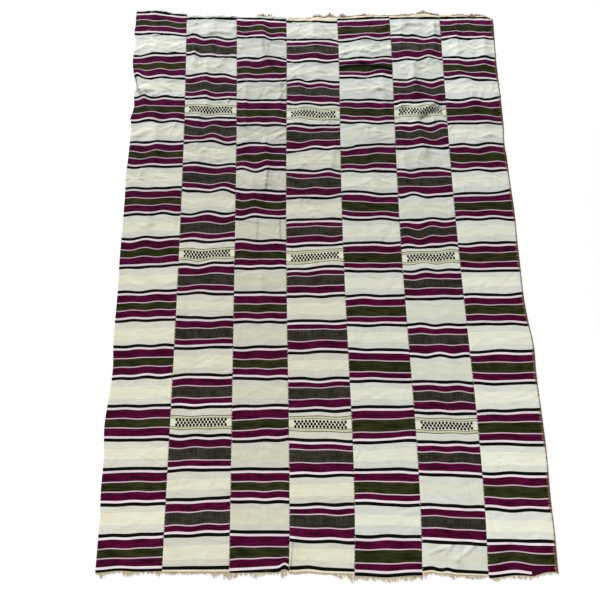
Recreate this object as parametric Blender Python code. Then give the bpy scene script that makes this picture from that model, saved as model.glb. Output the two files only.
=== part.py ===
"""Blanket of seven narrow handwoven cotton strips sewn edge to edge, laid out flat.

Each strip is a thin sheet with a level underside that lifts off the surface only along its folds.
The warp ends at the foot, and at the head of five strips, are a narrow heading with short locks.
X runs across the strips, Y along them towards the head, Z is up. Metres unless a name says MM.
"""
from collections import namedtuple
import random

import bpy
import bmesh
import numpy as np

MM = 0.001
CLOTH_THICKNESS = 0.002
FRINGE_THICKNESS = 0.0015
GAP = 0.0003
HEADING_DEPTH = 0.0025
LOCK_PITCH = 0.0100
LOCK_ROOT_WIDTH = 0.0052
LOCK_TIP_WIDTH = 0.0018
CELLS_ACROSS = 8
CELLS_ALONG = 40
FOOT_CELL_TO_HEAD_CELL = 1.9
HEADING_CORNERS = 5
FRINGE_SEED = 41
HEAD_FRINGE_SEED = 141

# Middle of the finished blanket's outline, which becomes the origin
OUTLINE_MIDDLE_MM = (4.0, 2.41)

# Where the long edges and seams lie, in mm from the middle, at five stations along the blanket
STATIONS_MM = (1000.0, 500.0, 0.0, -500.0, -1000.0)
Seam = namedtuple("Seam", "head upper middle lower foot")
SEAMS_MM = (
    Seam(-709, -694, -697, -696, -694),
    Seam(-506, -494, -490, -491, -493),
    Seam(-307, -298, -295, -293, -291),
    Seam(-109, -111, -114, -110, -111),
    Seam(94, 90, 86, 93, 86),
    Seam(302, 295, 290, 297, 290),
    Seam(501, 493, 491, 498, 488),
    Seam(717, 706, 703, 711, 700),
)

# Where each strip is cut off, in mm, at its left and right edge
StripEnds = namedtuple("StripEnds", "head_left head_right foot_left foot_right")
STRIP_ENDS_MM = (
    StripEnds(1053, 1036, -1005, -1003),
    StripEnds(1028, 1019, -1006, -1009),
    StripEnds(1017, 1015, -1010, -1010),
    StripEnds(1008, 1006, -1013, -1018),
    StripEnds(1011, 1018, -1025, -1026),
    StripEnds(1016, 1017, -1020, -1028),
    StripEnds(1014, 1008, -1034, -1030),
)
STRIPS = len(STRIP_ENDS_MM)
# The last strip's outer corner at the head is worn round
WORN_CORNER_MM = 13.0
WORN_CORNER_FROM_U = 0.87

# Folds, each a soft ridge from one point to another; u is the place across its strip, 0 to 1
Fold = namedtuple("Fold", "strip from_u from_y to_u to_y height half_width")
FOLDS_MM = (
    Fold(1, 0.38, 1060, 0.43, 920, 7, 42),
    Fold(1, 0.55, 860, 0.60, 740, 6, 52),
    Fold(1, 0.20, 690, 0.22, 600, 5, 26),
    Fold(1, 0.62, 700, 0.95, 620, 3, 30),
    Fold(1, 0.44, 590, 0.50, 420, 6, 34),
    Fold(1, 0.10, 400, 0.30, 330, 4, 30),
    Fold(1, 0.42, 210, 0.46, 130, 5, 26),
    Fold(2, 0.45, 960, 0.50, 880, 6, 46),
    Fold(2, 0.17, 870, 0.17, 800, 8, 24),
    Fold(2, 0.72, 870, 0.70, 810, 4, 26),
    Fold(2, 0.40, 800, 0.42, 590, 6, 22),
    Fold(2, 0.27, 590, 0.26, 430, 5, 24),
    Fold(2, 0.30, 390, 0.20, 330, 4, 28),
    Fold(3, 0.52, 1030, 0.57, 830, 7, 28),
    Fold(3, 0.76, 770, 0.80, 700, 4, 24),
    Fold(3, 0.17, 690, 0.18, 520, 6, 22),
    Fold(3, 0.88, 700, 0.86, 590, 5, 20),
    Fold(3, 0.60, 450, 0.62, 280, 8, 26),
    Fold(3, 0.32, 290, 0.36, 210, 6, 26),
    Fold(3, 0.50, -80, 0.55, -160, 4, 26),
    Fold(4, 0.48, 960, 0.52, 900, 5, 40),
    Fold(4, 0.56, 830, 0.60, 770, 4, 30),
    Fold(4, 0.25, 760, 0.27, 560, 5, 26),
    Fold(4, 0.05, 530, 0.25, 470, 5, 30),
    Fold(4, 0.90, 430, 0.80, 330, 4, 26),
    Fold(5, 0.95, 960, 0.45, 900, 5, 30),
    Fold(5, 0.02, 790, 0.98, 770, 6, 26),
    Fold(5, 0.80, 700, 0.82, 560, 5, 26),
    Fold(5, 0.30, 520, 0.60, 470, 5, 34),
    Fold(5, 0.55, 380, 0.60, 250, 4, 34),
    Fold(6, 0.22, 1020, 0.20, 880, 6, 26),
    Fold(6, 0.86, 970, 0.86, 860, 7, 26),
    Fold(6, 0.40, 780, 0.42, 650, 8, 24),
    Fold(6, 0.10, 660, 0.12, 600, 6, 22),
    Fold(6, 0.95, 660, 0.45, 550, 5, 22),
    Fold(6, 0.37, 570, 0.52, 400, 9, 32),
    Fold(6, 0.13, 380, 0.16, 290, 5, 24),
    Fold(7, 0.28, 970, 0.28, 740, 6, 30),
    Fold(7, 0.80, 950, 0.78, 770, 6, 30),
    Fold(7, 0.45, 710, 0.50, 560, 4, 34),
    Fold(7, 0.90, 600, 0.70, 520, 4, 30),
    Fold(7, 0.20, 460, 0.35, 380, 4, 30),
    Fold(4, 0.06, -880, 0.05, -985, 4, 14),
    Fold(6, 0.15, -930, 0.60, -985, 3, 26),
    Fold(6, 0.70, -900, 0.92, -975, 3, 24),
    Fold(7, 0.75, -950, 0.98, -1010, 6, 34),
)
FOLD_ROUNDING = 0.12
FOLD_REACH = 2.0
# The strips also puff up a little between their seams, most at the head
PUFF_HEIGHT_MM = 2.2
PUFF_FROM_Y_MM = -100.0
PUFF_FULL_Y_MM = 950.0
# A seam holds its strips down to this share of the folds beside it
SEAM_HOLD = 0.35
SEAM_REACH = 0.14
END_REACH_MM = 45.0

# Tufts of warp ends: where on the strip's end, how far they reach, and how wide they gather
Tuft = namedtuple("Tuft", "u length half_width")
Fringe = namedtuple("Fringe", "end strip from_u to_u base_length tufts")
FRINGES_MM = (
    Fringe("foot", 1, 0.0, 1.0, 9, (Tuft(0.09, 11, 14), Tuft(0.50, 14, 22), Tuft(0.93, 10, 16))),
    Fringe("foot", 2, 0.0, 1.0, 9, (Tuft(0.78, 9, 14), Tuft(0.97, 22, 12))),
    Fringe("foot", 3, 0.0, 1.0, 14, (Tuft(0.03, 15, 14), Tuft(0.47, 9, 18), Tuft(0.92, 12, 14))),
    Fringe("foot", 4, 0.0, 1.0, 6, (Tuft(0.78, 15, 16), Tuft(0.97, 22, 12))),
    Fringe("foot", 5, 0.0, 1.0, 12, (Tuft(0.52, 8, 20), Tuft(0.78, 6, 16))),
    Fringe("foot", 6, 0.0, 1.0, 7, (Tuft(0.02, 9, 12), Tuft(0.42, 8, 18), Tuft(0.75, 7, 40))),
    Fringe("foot", 7, 0.0, 1.0, 11, (Tuft(0.12, 5, 16), Tuft(0.45, 4, 18))),
    Fringe("head", 3, 0.40, 0.78, 8, (Tuft(0.50, 11, 18), Tuft(0.68, 5, 12))),
    Fringe("head", 4, 0.50, 0.99, 9, (Tuft(0.62, 9, 16), Tuft(0.86, 11, 18))),
    Fringe("head", 5, 0.01, 0.78, 5, (Tuft(0.08, 13, 16), Tuft(0.52, 9, 26))),
    Fringe("head", 6, 0.12, 0.99, 6, (Tuft(0.30, 4, 18), Tuft(0.68, 11, 24))),
    Fringe("head", 7, 0.20, 0.86, 6, (Tuft(0.38, 6, 20), Tuft(0.66, 7, 24))),
)
LOCK_GATHER = 0.35
LEAN_REACH = 1.5
LOCK_LENGTH_SPREAD = 0.22

CREAM = (0.60, 0.60, 0.50, 1.0)
PALE_CREAM = (0.66, 0.66, 0.56, 1.0)
RAW_YARN = (0.52, 0.42, 0.28, 1.0)


def start_empty():
    """Removes what the file opens with."""
    for thing in list(bpy.data.objects):
        bpy.data.objects.remove(thing, do_unlink=True)


def cotton(name, colour, roughness):
    """Makes a matt cotton material."""
    material = bpy.data.materials.new(name)
    material.use_nodes = True
    shader = material.node_tree.nodes["Principled BSDF"]
    shader.inputs["Base Color"].default_value = colour
    shader.inputs["Roughness"].default_value = roughness
    shader.inputs["Metallic"].default_value = 0.0
    return material


def smooth_step(value):
    """Rises from 0 to 1 with level ends."""
    share = np.clip(value, 0.0, 1.0)
    return share * share * (3.0 - 2.0 * share)


def seam_x(seam, y):
    """Place across of a seam, in mm: one smooth curve through its stations, straight past them."""
    curve = np.polyfit(np.array(STATIONS_MM) / STATIONS_MM[0], SEAMS_MM[seam], 4)
    return np.polyval(curve, np.clip(y / STATIONS_MM[0], -1.0, 1.0))


def place_across(strip, u, y):
    """Turns a place u across a strip into mm."""
    left = seam_x(strip - 1, y)
    return left + (seam_x(strip, y) - left) * u


def end_y(strip, end, u):
    """Place along, in mm, of a strip's end: a straight cut, worn round at one outer corner."""
    row = STRIP_ENDS_MM[strip - 1]
    if end == "foot":
        return row.foot_left + (row.foot_right - row.foot_left) * u
    worn = WORN_CORNER_MM * smooth_step((u - WORN_CORNER_FROM_U) / (1.0 - WORN_CORNER_FROM_U))
    return row.head_left + (row.head_right - row.head_left) * u - worn * (strip == STRIPS)


def ridge(fold, x, y):
    """Height of one fold: highest on its line, and down to nothing at FOLD_REACH half widths."""
    start = np.array((place_across(fold.strip, fold.from_u, fold.from_y), fold.from_y))
    run = np.array((place_across(fold.strip, fold.to_u, fold.to_y), fold.to_y)) - start
    length_squared = run @ run
    along = np.clip(((x - start[0]) * run[0] + (y - start[1]) * run[1]) / length_squared, 0.0, 1.0)
    distance = np.hypot(x - start[0] - run[0] * along, y - start[1] - run[1] * along)
    rounded = np.hypot(distance / fold.half_width, FOLD_ROUNDING) - FOLD_ROUNDING
    return fold.height * np.clip(1.0 - rounded / FOLD_REACH, 0.0, 1.0) ** 3


def relief(strip, u, y):
    """Height of the cloth's underside, in mm: its folds and puff, held down at seams and ends."""
    x = place_across(strip, u, y)
    rise = (y - PUFF_FROM_Y_MM) / (PUFF_FULL_Y_MM - PUFF_FROM_Y_MM)
    height = PUFF_HEIGHT_MM * smooth_step(rise) * np.sin(np.pi * u) ** 2
    for fold in FOLDS_MM:
        height = height + ridge(fold, x, y)
    free = smooth_step(np.minimum(u, 1.0 - u) / SEAM_REACH)
    height = height * (SEAM_HOLD + (1.0 - SEAM_HOLD) * free)
    height = height * smooth_step((y - end_y(strip, "foot", u)) / END_REACH_MM)
    if any(fringe.end == "head" and fringe.strip == strip for fringe in FRINGES_MM):
        height = height * smooth_step((end_y(strip, "head", u) - y) / END_REACH_MM)
    return height


def drawn_upwards(shape, thickness):
    """Closes an open sheet into a solid by drawing its faces straight up."""
    drawn = bmesh.ops.extrude_face_region(shape, geom=shape.faces[:], use_keep_orig=True)
    lifted = [item for item in drawn["geom"] if isinstance(item, bmesh.types.BMVert)]
    bmesh.ops.translate(shape, verts=lifted, vec=(0.0, 0.0, thickness))
    bmesh.ops.recalc_face_normals(shape, faces=shape.faces[:])


def object_from(shape, name):
    """Makes an object of a finished shape."""
    mesh = bpy.data.meshes.new(name)
    shape.to_mesh(mesh)
    shape.free()
    return bpy.data.objects.new(name, mesh)


def strip_sheet(strip):
    """A strip's solid: a grid on the relief, drawn upwards by the cloth's thickness."""
    shape = bmesh.new()
    bmesh.ops.create_grid(shape, x_segments=CELLS_ACROSS, y_segments=CELLS_ALONG, size=0.5)
    grid = np.array([vert.co[:] for vert in shape.verts])
    u = grid[:, 0] + 0.5
    # Cells grow from the head, where the folds are, towards the foot
    v = 0.5 - grid[:, 1]
    spread = FOOT_CELL_TO_HEAD_CELL - 1.0
    v = v * (1.0 + 0.5 * spread * v) / (1.0 + 0.5 * spread)
    y = end_y(strip, "head", u) + (end_y(strip, "foot", u) - end_y(strip, "head", u)) * v
    inset = 0.5 * GAP / MM * (1.0 - 2.0 * u)
    x = place_across(strip, u, y) + inset
    z = relief(strip, u, y)
    for vert, place in zip(shape.verts, np.column_stack((x, y, z)) * MM):
        vert.co = place
    drawn_upwards(shape, CLOTH_THICKNESS)
    return object_from(shape, "strip_%d" % strip)


def lock_length(fringe, u, width, dice):
    """Length of one lock, in mm: the fringe's base length and what the tufts near it add."""
    length = fringe.base_length
    for tuft in fringe.tufts:
        off = (u - tuft.u) * width / tuft.half_width
        length += tuft.length * np.exp(-off * off)
    return length * (1.0 + dice.uniform(-LOCK_LENGTH_SPREAD, LOCK_LENGTH_SPREAD))


def lock_lean(fringe, u, width):
    """Sideways lean of a lock's tip, in mm, towards the tufts near it, fading with distance."""
    lean = 0.0
    for tuft in fringe.tufts:
        off = (tuft.u - u) * width
        lean += LOCK_GATHER * off * np.exp(-(off / (LEAN_REACH * tuft.half_width)) ** 2)
    return lean


def fringe_outline(fringe):
    """Outline of a heading and its locks, in metres, seen from above."""
    outward = 1.0 if fringe.end == "head" else -1.0
    seed = HEAD_FRINGE_SEED if fringe.end == "head" else FRINGE_SEED
    dice = random.Random(seed + fringe.strip)

    def point(u, beyond, sideways=0.0):
        y = end_y(fringe.strip, fringe.end, u) * MM + outward * beyond
        return place_across(fringe.strip, u, y / MM) * MM + sideways, y

    edge = abs(point(1.0, 0.0)[0] - point(0.0, 0.0)[0])
    first = max(fringe.from_u, 0.5 * GAP / edge)
    last = min(fringe.to_u, 1.0 - 0.5 * GAP / edge)
    count = int((last - first) * edge / LOCK_PITCH)
    root_depth = GAP + HEADING_DEPTH
    inner = [point(u, GAP) for u in np.linspace(first, last, HEADING_CORNERS)]
    outer = [point(last, root_depth)]
    for lock in reversed(range(count)):
        u = first + (last - first) * (lock + 0.5) / count
        length = lock_length(fringe, u, edge / MM, dice) * MM
        lean = lock_lean(fringe, u, edge / MM) * MM
        half_root = 0.5 * LOCK_ROOT_WIDTH
        half_tip = 0.5 * LOCK_TIP_WIDTH
        middle = point(u, 0.0)[0]
        reach = point(first, 0.0)[0] + half_tip + GAP, point(last, 0.0)[0] - half_tip - GAP
        lean = min(max(middle + lean, reach[0]), reach[1]) - middle
        outer.append(point(u, root_depth, half_root))
        outer.append(point(u, length, lean + half_tip))
        outer.append(point(u, length, lean - half_tip))
        outer.append(point(u, root_depth, -half_root))
    outer.append(point(first, root_depth))
    return inner + outer


def fringe_piece(fringe):
    """The solid of one fringe: its flat outline on the surface, drawn upwards."""
    shape = bmesh.new()
    corners = [shape.verts.new((x, y, 0.0)) for x, y in fringe_outline(fringe)]
    shape.faces.new(corners)
    drawn_upwards(shape, FRINGE_THICKNESS)
    bmesh.ops.triangulate(shape, faces=[face for face in shape.faces if len(face.verts) > 4])
    return object_from(shape, "fringe_%s_%d" % (fringe.end, fringe.strip))


def main():
    """Builds every strip and fringe and moves the outline's middle to the origin."""
    start_empty()
    collection = bpy.data.collections.new("strip_woven_blanket")
    bpy.context.scene.collection.children.link(collection)
    cloths = (cotton("cotton_cream", CREAM, 0.9), cotton("cotton_pale_cream", PALE_CREAM, 0.9))
    yarn = cotton("cotton_raw_yarn", RAW_YARN, 0.95)
    pieces = []
    for strip in range(1, STRIPS + 1):
        sheet = strip_sheet(strip)
        sheet.data.materials.append(cloths[strip % 2])
        pieces.append(sheet)
    for fringe in FRINGES_MM:
        piece = fringe_piece(fringe)
        piece.data.materials.append(yarn)
        pieces.append(piece)
    for piece in pieces:
        piece.location.x -= OUTLINE_MIDDLE_MM[0] * MM
        piece.location.y -= OUTLINE_MIDDLE_MM[1] * MM
        collection.objects.link(piece)


main()
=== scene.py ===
"""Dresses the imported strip-woven cotton blanket: striped cloth, inlay, sewing, fringes and a stage.

X runs across the strips, Y along them towards the head, Z is up. A name that ends in MM is in
millimetres of the cloth's own frame, which OUTLINE_MIDDLE_MM moves to the origin. The places that
the solids follow too, such as seams, ends and folds, are the same values as in the part's source.
"""

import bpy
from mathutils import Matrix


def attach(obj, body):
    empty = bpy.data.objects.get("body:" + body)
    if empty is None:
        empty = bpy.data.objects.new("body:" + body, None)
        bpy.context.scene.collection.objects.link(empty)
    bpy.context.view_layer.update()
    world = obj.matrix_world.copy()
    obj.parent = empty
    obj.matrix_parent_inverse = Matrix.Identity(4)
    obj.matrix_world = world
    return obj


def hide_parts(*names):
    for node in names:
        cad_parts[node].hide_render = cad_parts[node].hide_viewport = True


bl_info = {
    "name": "Strip-woven cotton blanket",
    "version": (1, 0, 0),
    "blender": (4, 5, 0),
    "location": "3D View > Sidebar > Blanket",
    "description": "Seven weft-striped handwoven cotton strips, sewn edge to edge and laid out flat",
    "category": "Add Mesh",
}

import math
import random
from collections import namedtuple

import bpy
import numpy as np
from mathutils import Matrix

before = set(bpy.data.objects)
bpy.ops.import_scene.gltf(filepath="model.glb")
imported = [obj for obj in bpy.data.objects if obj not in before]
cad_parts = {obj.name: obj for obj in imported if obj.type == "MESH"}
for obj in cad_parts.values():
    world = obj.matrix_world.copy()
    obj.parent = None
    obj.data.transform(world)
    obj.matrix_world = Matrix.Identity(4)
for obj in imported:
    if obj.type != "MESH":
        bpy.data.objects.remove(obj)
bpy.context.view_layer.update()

MM = 0.001
OUTLINE_MIDDLE_MM = (4.0, 2.41)
BODY = "root"

# Where the long edges and seams lie, in mm from the middle, at five stations along the blanket, as
# a measuring script found them on the flattened photo
STATIONS_MM = (1000.0, 500.0, 0.0, -500.0, -1000.0)
Seam = namedtuple("Seam", "head upper middle lower foot")
SEAMS_MM = (
    Seam(-709, -694, -697, -696, -694),
    Seam(-506, -494, -490, -491, -493),
    Seam(-307, -298, -295, -293, -291),
    Seam(-109, -111, -114, -110, -111),
    Seam(94, 90, 86, 93, 86),
    Seam(302, 295, 290, 297, 290),
    Seam(501, 493, 491, 498, 488),
    Seam(717, 706, 703, 711, 700),
)
SEAM_CURVES = [np.polyfit(np.array(STATIONS_MM) / STATIONS_MM[0], seam, 4) for seam in SEAMS_MM]
StripEnds = namedtuple("StripEnds", "head_left head_right foot_left foot_right")
STRIP_ENDS_MM = (
    StripEnds(1053, 1036, -1005, -1003),
    StripEnds(1028, 1019, -1006, -1009),
    StripEnds(1017, 1015, -1010, -1010),
    StripEnds(1008, 1006, -1013, -1018),
    StripEnds(1011, 1018, -1025, -1026),
    StripEnds(1016, 1017, -1020, -1028),
    StripEnds(1014, 1008, -1034, -1030),
)
STRIPS = len(STRIP_ENDS_MM)
STRIP_WIDTH_MM = 200.0
GAP_MM = 0.3
WORN_CORNER_MM = 13.0
WORN_CORNER_FROM_U = 0.87
WORN_REACH_MM = 20.0

# Folds, each a soft ridge from one point to another; u is the place across its strip, 0 to 1
Fold = namedtuple("Fold", "strip from_u from_y to_u to_y height half_width")
FOLDS_MM = (
    Fold(1, 0.38, 1060, 0.43, 920, 7, 42),
    Fold(1, 0.55, 860, 0.60, 740, 6, 52),
    Fold(1, 0.20, 690, 0.22, 600, 5, 26),
    Fold(1, 0.62, 700, 0.95, 620, 3, 30),
    Fold(1, 0.44, 590, 0.50, 420, 6, 34),
    Fold(1, 0.10, 400, 0.30, 330, 4, 30),
    Fold(1, 0.42, 210, 0.46, 130, 5, 26),
    Fold(2, 0.45, 960, 0.50, 880, 6, 46),
    Fold(2, 0.17, 870, 0.17, 800, 8, 24),
    Fold(2, 0.72, 870, 0.70, 810, 4, 26),
    Fold(2, 0.40, 800, 0.42, 590, 6, 22),
    Fold(2, 0.27, 590, 0.26, 430, 5, 24),
    Fold(2, 0.30, 390, 0.20, 330, 4, 28),
    Fold(3, 0.52, 1030, 0.57, 830, 7, 28),
    Fold(3, 0.76, 770, 0.80, 700, 4, 24),
    Fold(3, 0.17, 690, 0.18, 520, 6, 22),
    Fold(3, 0.88, 700, 0.86, 590, 5, 20),
    Fold(3, 0.60, 450, 0.62, 280, 8, 26),
    Fold(3, 0.32, 290, 0.36, 210, 6, 26),
    Fold(3, 0.50, -80, 0.55, -160, 4, 26),
    Fold(4, 0.48, 960, 0.52, 900, 5, 40),
    Fold(4, 0.56, 830, 0.60, 770, 4, 30),
    Fold(4, 0.25, 760, 0.27, 560, 5, 26),
    Fold(4, 0.05, 530, 0.25, 470, 5, 30),
    Fold(4, 0.90, 430, 0.80, 330, 4, 26),
    Fold(5, 0.95, 960, 0.45, 900, 5, 30),
    Fold(5, 0.02, 790, 0.98, 770, 6, 26),
    Fold(5, 0.80, 700, 0.82, 560, 5, 26),
    Fold(5, 0.30, 520, 0.60, 470, 5, 34),
    Fold(5, 0.55, 380, 0.60, 250, 4, 34),
    Fold(6, 0.22, 1020, 0.20, 880, 6, 26),
    Fold(6, 0.86, 970, 0.86, 860, 7, 26),
    Fold(6, 0.40, 780, 0.42, 650, 8, 24),
    Fold(6, 0.10, 660, 0.12, 600, 6, 22),
    Fold(6, 0.95, 660, 0.45, 550, 5, 22),
    Fold(6, 0.37, 570, 0.52, 400, 9, 32),
    Fold(6, 0.13, 380, 0.16, 290, 5, 24),
    Fold(7, 0.28, 970, 0.28, 740, 6, 30),
    Fold(7, 0.80, 950, 0.78, 770, 6, 30),
    Fold(7, 0.45, 710, 0.50, 560, 4, 34),
    Fold(7, 0.90, 600, 0.70, 520, 4, 30),
    Fold(7, 0.20, 460, 0.35, 380, 4, 30),
    Fold(4, 0.06, -880, 0.05, -985, 4, 14),
    Fold(6, 0.15, -930, 0.60, -985, 3, 26),
    Fold(6, 0.70, -900, 0.92, -975, 3, 24),
    Fold(7, 0.75, -950, 0.98, -1010, 6, 34),
)
FOLD_ROUNDING = 0.12
FOLD_REACH = 2.0
PUFF_HEIGHT_MM = 2.2
PUFF_FROM_Y_MM = -100.0
PUFF_FULL_Y_MM = 950.0
SEAM_HOLD = 0.35
SEAM_REACH = 0.14
END_REACH_MM = 45.0

# Warp ends: tufts along a strip's end, how far they reach and how wide they gather
Tuft = namedtuple("Tuft", "u length half_width")
Fringe = namedtuple("Fringe", "end strip from_u to_u base_length tufts")
FRINGES_MM = (
    Fringe("foot", 1, 0.0, 1.0, 9, (Tuft(0.09, 11, 14), Tuft(0.50, 14, 22), Tuft(0.93, 10, 16))),
    Fringe("foot", 2, 0.0, 1.0, 9, (Tuft(0.78, 9, 14), Tuft(0.97, 22, 12))),
    Fringe("foot", 3, 0.0, 1.0, 14, (Tuft(0.03, 15, 14), Tuft(0.47, 9, 18), Tuft(0.92, 12, 14))),
    Fringe("foot", 4, 0.0, 1.0, 6, (Tuft(0.78, 15, 16), Tuft(0.97, 22, 12))),
    Fringe("foot", 5, 0.0, 1.0, 12, (Tuft(0.52, 8, 20), Tuft(0.78, 6, 16))),
    Fringe("foot", 6, 0.0, 1.0, 7, (Tuft(0.02, 9, 12), Tuft(0.42, 8, 18), Tuft(0.75, 7, 40))),
    Fringe("foot", 7, 0.0, 1.0, 11, (Tuft(0.12, 5, 16), Tuft(0.45, 4, 18))),
    Fringe("head", 3, 0.40, 0.78, 8, (Tuft(0.50, 11, 18), Tuft(0.68, 5, 12))),
    Fringe("head", 4, 0.50, 0.99, 9, (Tuft(0.62, 9, 16), Tuft(0.86, 11, 18))),
    Fringe("head", 5, 0.01, 0.78, 5, (Tuft(0.08, 13, 16), Tuft(0.52, 9, 26))),
    Fringe("head", 6, 0.12, 0.99, 6, (Tuft(0.30, 4, 18), Tuft(0.68, 11, 24))),
    Fringe("head", 7, 0.20, 0.86, 6, (Tuft(0.38, 6, 20), Tuft(0.66, 7, 24))),
)
LOCK_PITCH_MM = 10.0
LOCK_GATHER = 0.35
LEAN_REACH = 1.5
LOCK_LENGTH_SPREAD = 0.22
FRINGE_SEED = 41
HEAD_FRINGE_SEED = 141

# How each strip was woven, from numbers that a measuring script tracked on the photo. The first
# dark block's upper black line lies at first_top and a block returns every repeat. No hand beats
# evenly: each block's line lies late mm nearer the head than an even one would, the block is
# longer mm over DARK_BLOCK_MM, and its upper and lower black lines rise from left to right by
# upper_slant and lower_slant.
StripPlan = namedtuple("StripPlan", "first_top repeat late longer upper_slant lower_slant")
STRIP_PLANS_MM = (
    StripPlan(1040, 193.9, (-2, 0, -3, -1, 3, 4, 0, 3, 0, -2, -2), (-3, 6, 2, -2, 0, 4, -1, 2, 4, 2, -3),
              (-17, 9, -1, 4, -1, 8, 5, 6, 0, 2, 3), (-10, -9, -1, 0, 5, 8, 5, 5, 0, 2, 3)),
    StripPlan(936, 192.6, (-15, 5, 6, 4, 2, 1, 1, -1, -3, -2), (-15, 4, 0, 5, 5, 4, 0, 1, 2, 1),
              (-16, -5, -6, -8, 3, 8, -3, -1, -2, 6), (-18, -5, -8, -7, -1, -3, 3, 2, 2, 4)),
    StripPlan(1014, 191.2, (-6, -1, 1, 2, 5, 2, 1, 2, -1, -6, 1), (-9, 0, 5, 2, 4, 1, 0, 2, 5, -6, 6),
              (-15, -8, 0, -5, -9, -7, -4, -1, 5, -2, -3), (-15, 2, -4, -4, 0, -1, 1, -4, 4, -2, 7)),
    StripPlan(907, 191.4, (-1, 0, -1, -1, -4, 5, 7, 3, -3, -5), (0, 0, 2, 5, -6, -1, 4, 1, 4, 2),
              (-13, -7, 1, -2, 5, 6, 0, -3, -5, -2), (-3, -8, 2, 5, 4, 4, 2, 0, -2, -9)),
    StripPlan(1008, 192.0, (-2, 2, 5, 1, 0, -2, -4, 0, 4, 1, -2), (-1, -15, -4, 4, 0, 2, 0, 2, 6, 0, 1),
              (10, 8, 1, 9, -7, -3, 1, -8, -1, -1, -4), (9, -3, -4, -4, -10, -2, -5, -3, 5, -8, -2)),
    StripPlan(914, 194.1, (4, -1, 0, 0, -4, -2, -2, -1, 1, 4), (4, 1, 1, 3, 1, -1, 5, -2, -3, 2),
              (-1, 0, 1, 1, 6, 6, -5, -6, -6, -10), (4, 3, 6, 1, 5, 1, -3, -6, -11, -11)),
    StripPlan(1010, 193.8, (-5, -2, 7, 5, 1, 0, 4, 1, 0, -1, -5), (-1, -6, 5, 5, 1, 0, 1, 4, 3, 5, -5),
              (0, -3, 1, 4, 6, 4, -3, 1, 2, -5, -7), (-4, -10, -2, 2, 1, -1, 0, -1, -4, -7, -2)),
)
DARK_BLOCK_MM = 104.0
# The black line that closes the cut-off block at each end of strips 2, 4 and 6
EdgeLines = namedtuple("EdgeLines", "head head_slant foot foot_slant")
EDGE_LINES_MM = {
    2: EdgeLines(1008, 0, -995, 0),
    4: EdgeLines(989, -3, -1003, -9),
    6: EdgeLines(1001, -1, -1013, -13),
}
# The plans' places were read from over the foot of the cloth, at this place and height of the eye
EYE_PLACE_MM = -686.0
EYE_HEIGHT_MM = 1843.0
LYING_MM = 2.0
LIFTED_MM = 2.6

# Bands inside a dark block: the widths of lines, and how the rest is shared by its three wide bands
BLACK_LINE_MM = 10.2
WHITE_LINE_MM = 6.9
PALE_LINE_MM = 3.4
WideBands = namedtuple("WideBands", "upper_purple middle lower_purple")
WIDE_BANDS = (
    WideBands(24, 24, 22),
    WideBands(22, 34, 16),
    WideBands(26, 27, 20),
    WideBands(14, 33, 23),
    WideBands(22, 33, 16),
    WideBands(17, 29, 23),
    WideBands(21, 31, 20),
)
# How unevenly dark bands are dyed, and how much more than cream they take the painted shade along the
# blanket
DARK_SPREAD = (0.90, 1.08)
DARK_PAINTED_SHADE_POWER = 1.5
# The one block that was begun without its lower purple, as strip and block
SHORT_BLOCK = (2, 0)
SHORT_SHARES = (28, 43)
# Cream ground: three sub-bands, and how light each strip's warm middle and cooler sides came out
CREAM_SIDE_SHARE = 0.27
SIDE_SPREAD = (0.8, 1.2)
CREAM_SPREAD = (0.97, 1.03)
CreamTone = namedtuple("CreamTone", "middle sides")
CREAM_TONES = (
    CreamTone(1.07, 1.09),
    CreamTone(0.99, 0.98),
    CreamTone(0.86, 0.94),
    CreamTone(0.99, 0.98),
    CreamTone(0.97, 0.98),
    CreamTone(0.92, 1.0),
    CreamTone(1.08, 1.08),
)
# The strips from this one on were woven from a paler, cooler batch of cream
PALE_FROM_STRIP = 5
# Painted shade along the blanket: how light the yarns are painted at each place along, darkest between its
# middle and its head
PAINTED_LIGHT_ALONG_MM = (
    (-820, 1.0), (-640, 0.975), (-230, 0.94), (150, 0.885), (530, 0.885), (730, 0.955), (900, 1.0),
)
# Inlaid blocks: the cream blocks that hold one, and where its bands lie under the upper black line
INLAID_BLOCKS = (2, 5, 8)
Inlay = namedtuple("Inlay", "outer_top inner_top rows inner_foot outer_foot")
INLAYS_MM = {
    2: Inlay(27.0, 35.0, (39.5, 47.5, 55.5), 61.0, 69.0),
    4: Inlay(17.7, 26.5, (34.0, 42.0, 50.0), 55.5, 65.0),
    6: Inlay(16.0, 24.0, (30.5, 38.5, 46.5), 53.5, 62.0),
}
OUTER_OLIVE_LINE_MM = 2.6
INNER_OLIVE_LINE_MM = 2.0

# Where wefts were pulled off their even run: a soft bump, in mm towards the head
Pull = namedtuple("Pull", "strip u weft lift half_u half_mm")
PULLS_MM = (
    Pull(1, 0.07, 742, 11, 0.07, 26),
    Pull(1, 0.20, 652, 6, 0.09, 40),
    Pull(1, 0.35, -1003, 4, 0.20, 30),
    Pull(2, 0.17, 925, 6, 0.10, 34),
    Pull(2, 0.48, 925, -4, 0.14, 34),
    Pull(2, 0.17, 836, 6, 0.08, 30),
    Pull(2, 0.38, 505, -4, 0.05, 16),
    Pull(3, 0.56, 905, 5, 0.09, 40),
    Pull(3, 0.92, -1003, 9, 0.07, 26),
    Pull(4, 0.30, -1005, 4, 0.15, 30),
    Pull(4, 0.75, 1008, 5, 0.24, 9),
    Pull(5, 0.45, -1020, -5, 0.25, 30),
    Pull(6, 0.72, 1017, 8, 0.20, 9),
    Pull(6, 0.14, -1010, 5, 0.10, 32),
    Pull(6, 0.38, -1012, 4, 0.07, 30),
    Pull(7, 0.38, -1000, 8, 0.22, 60),
)
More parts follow.
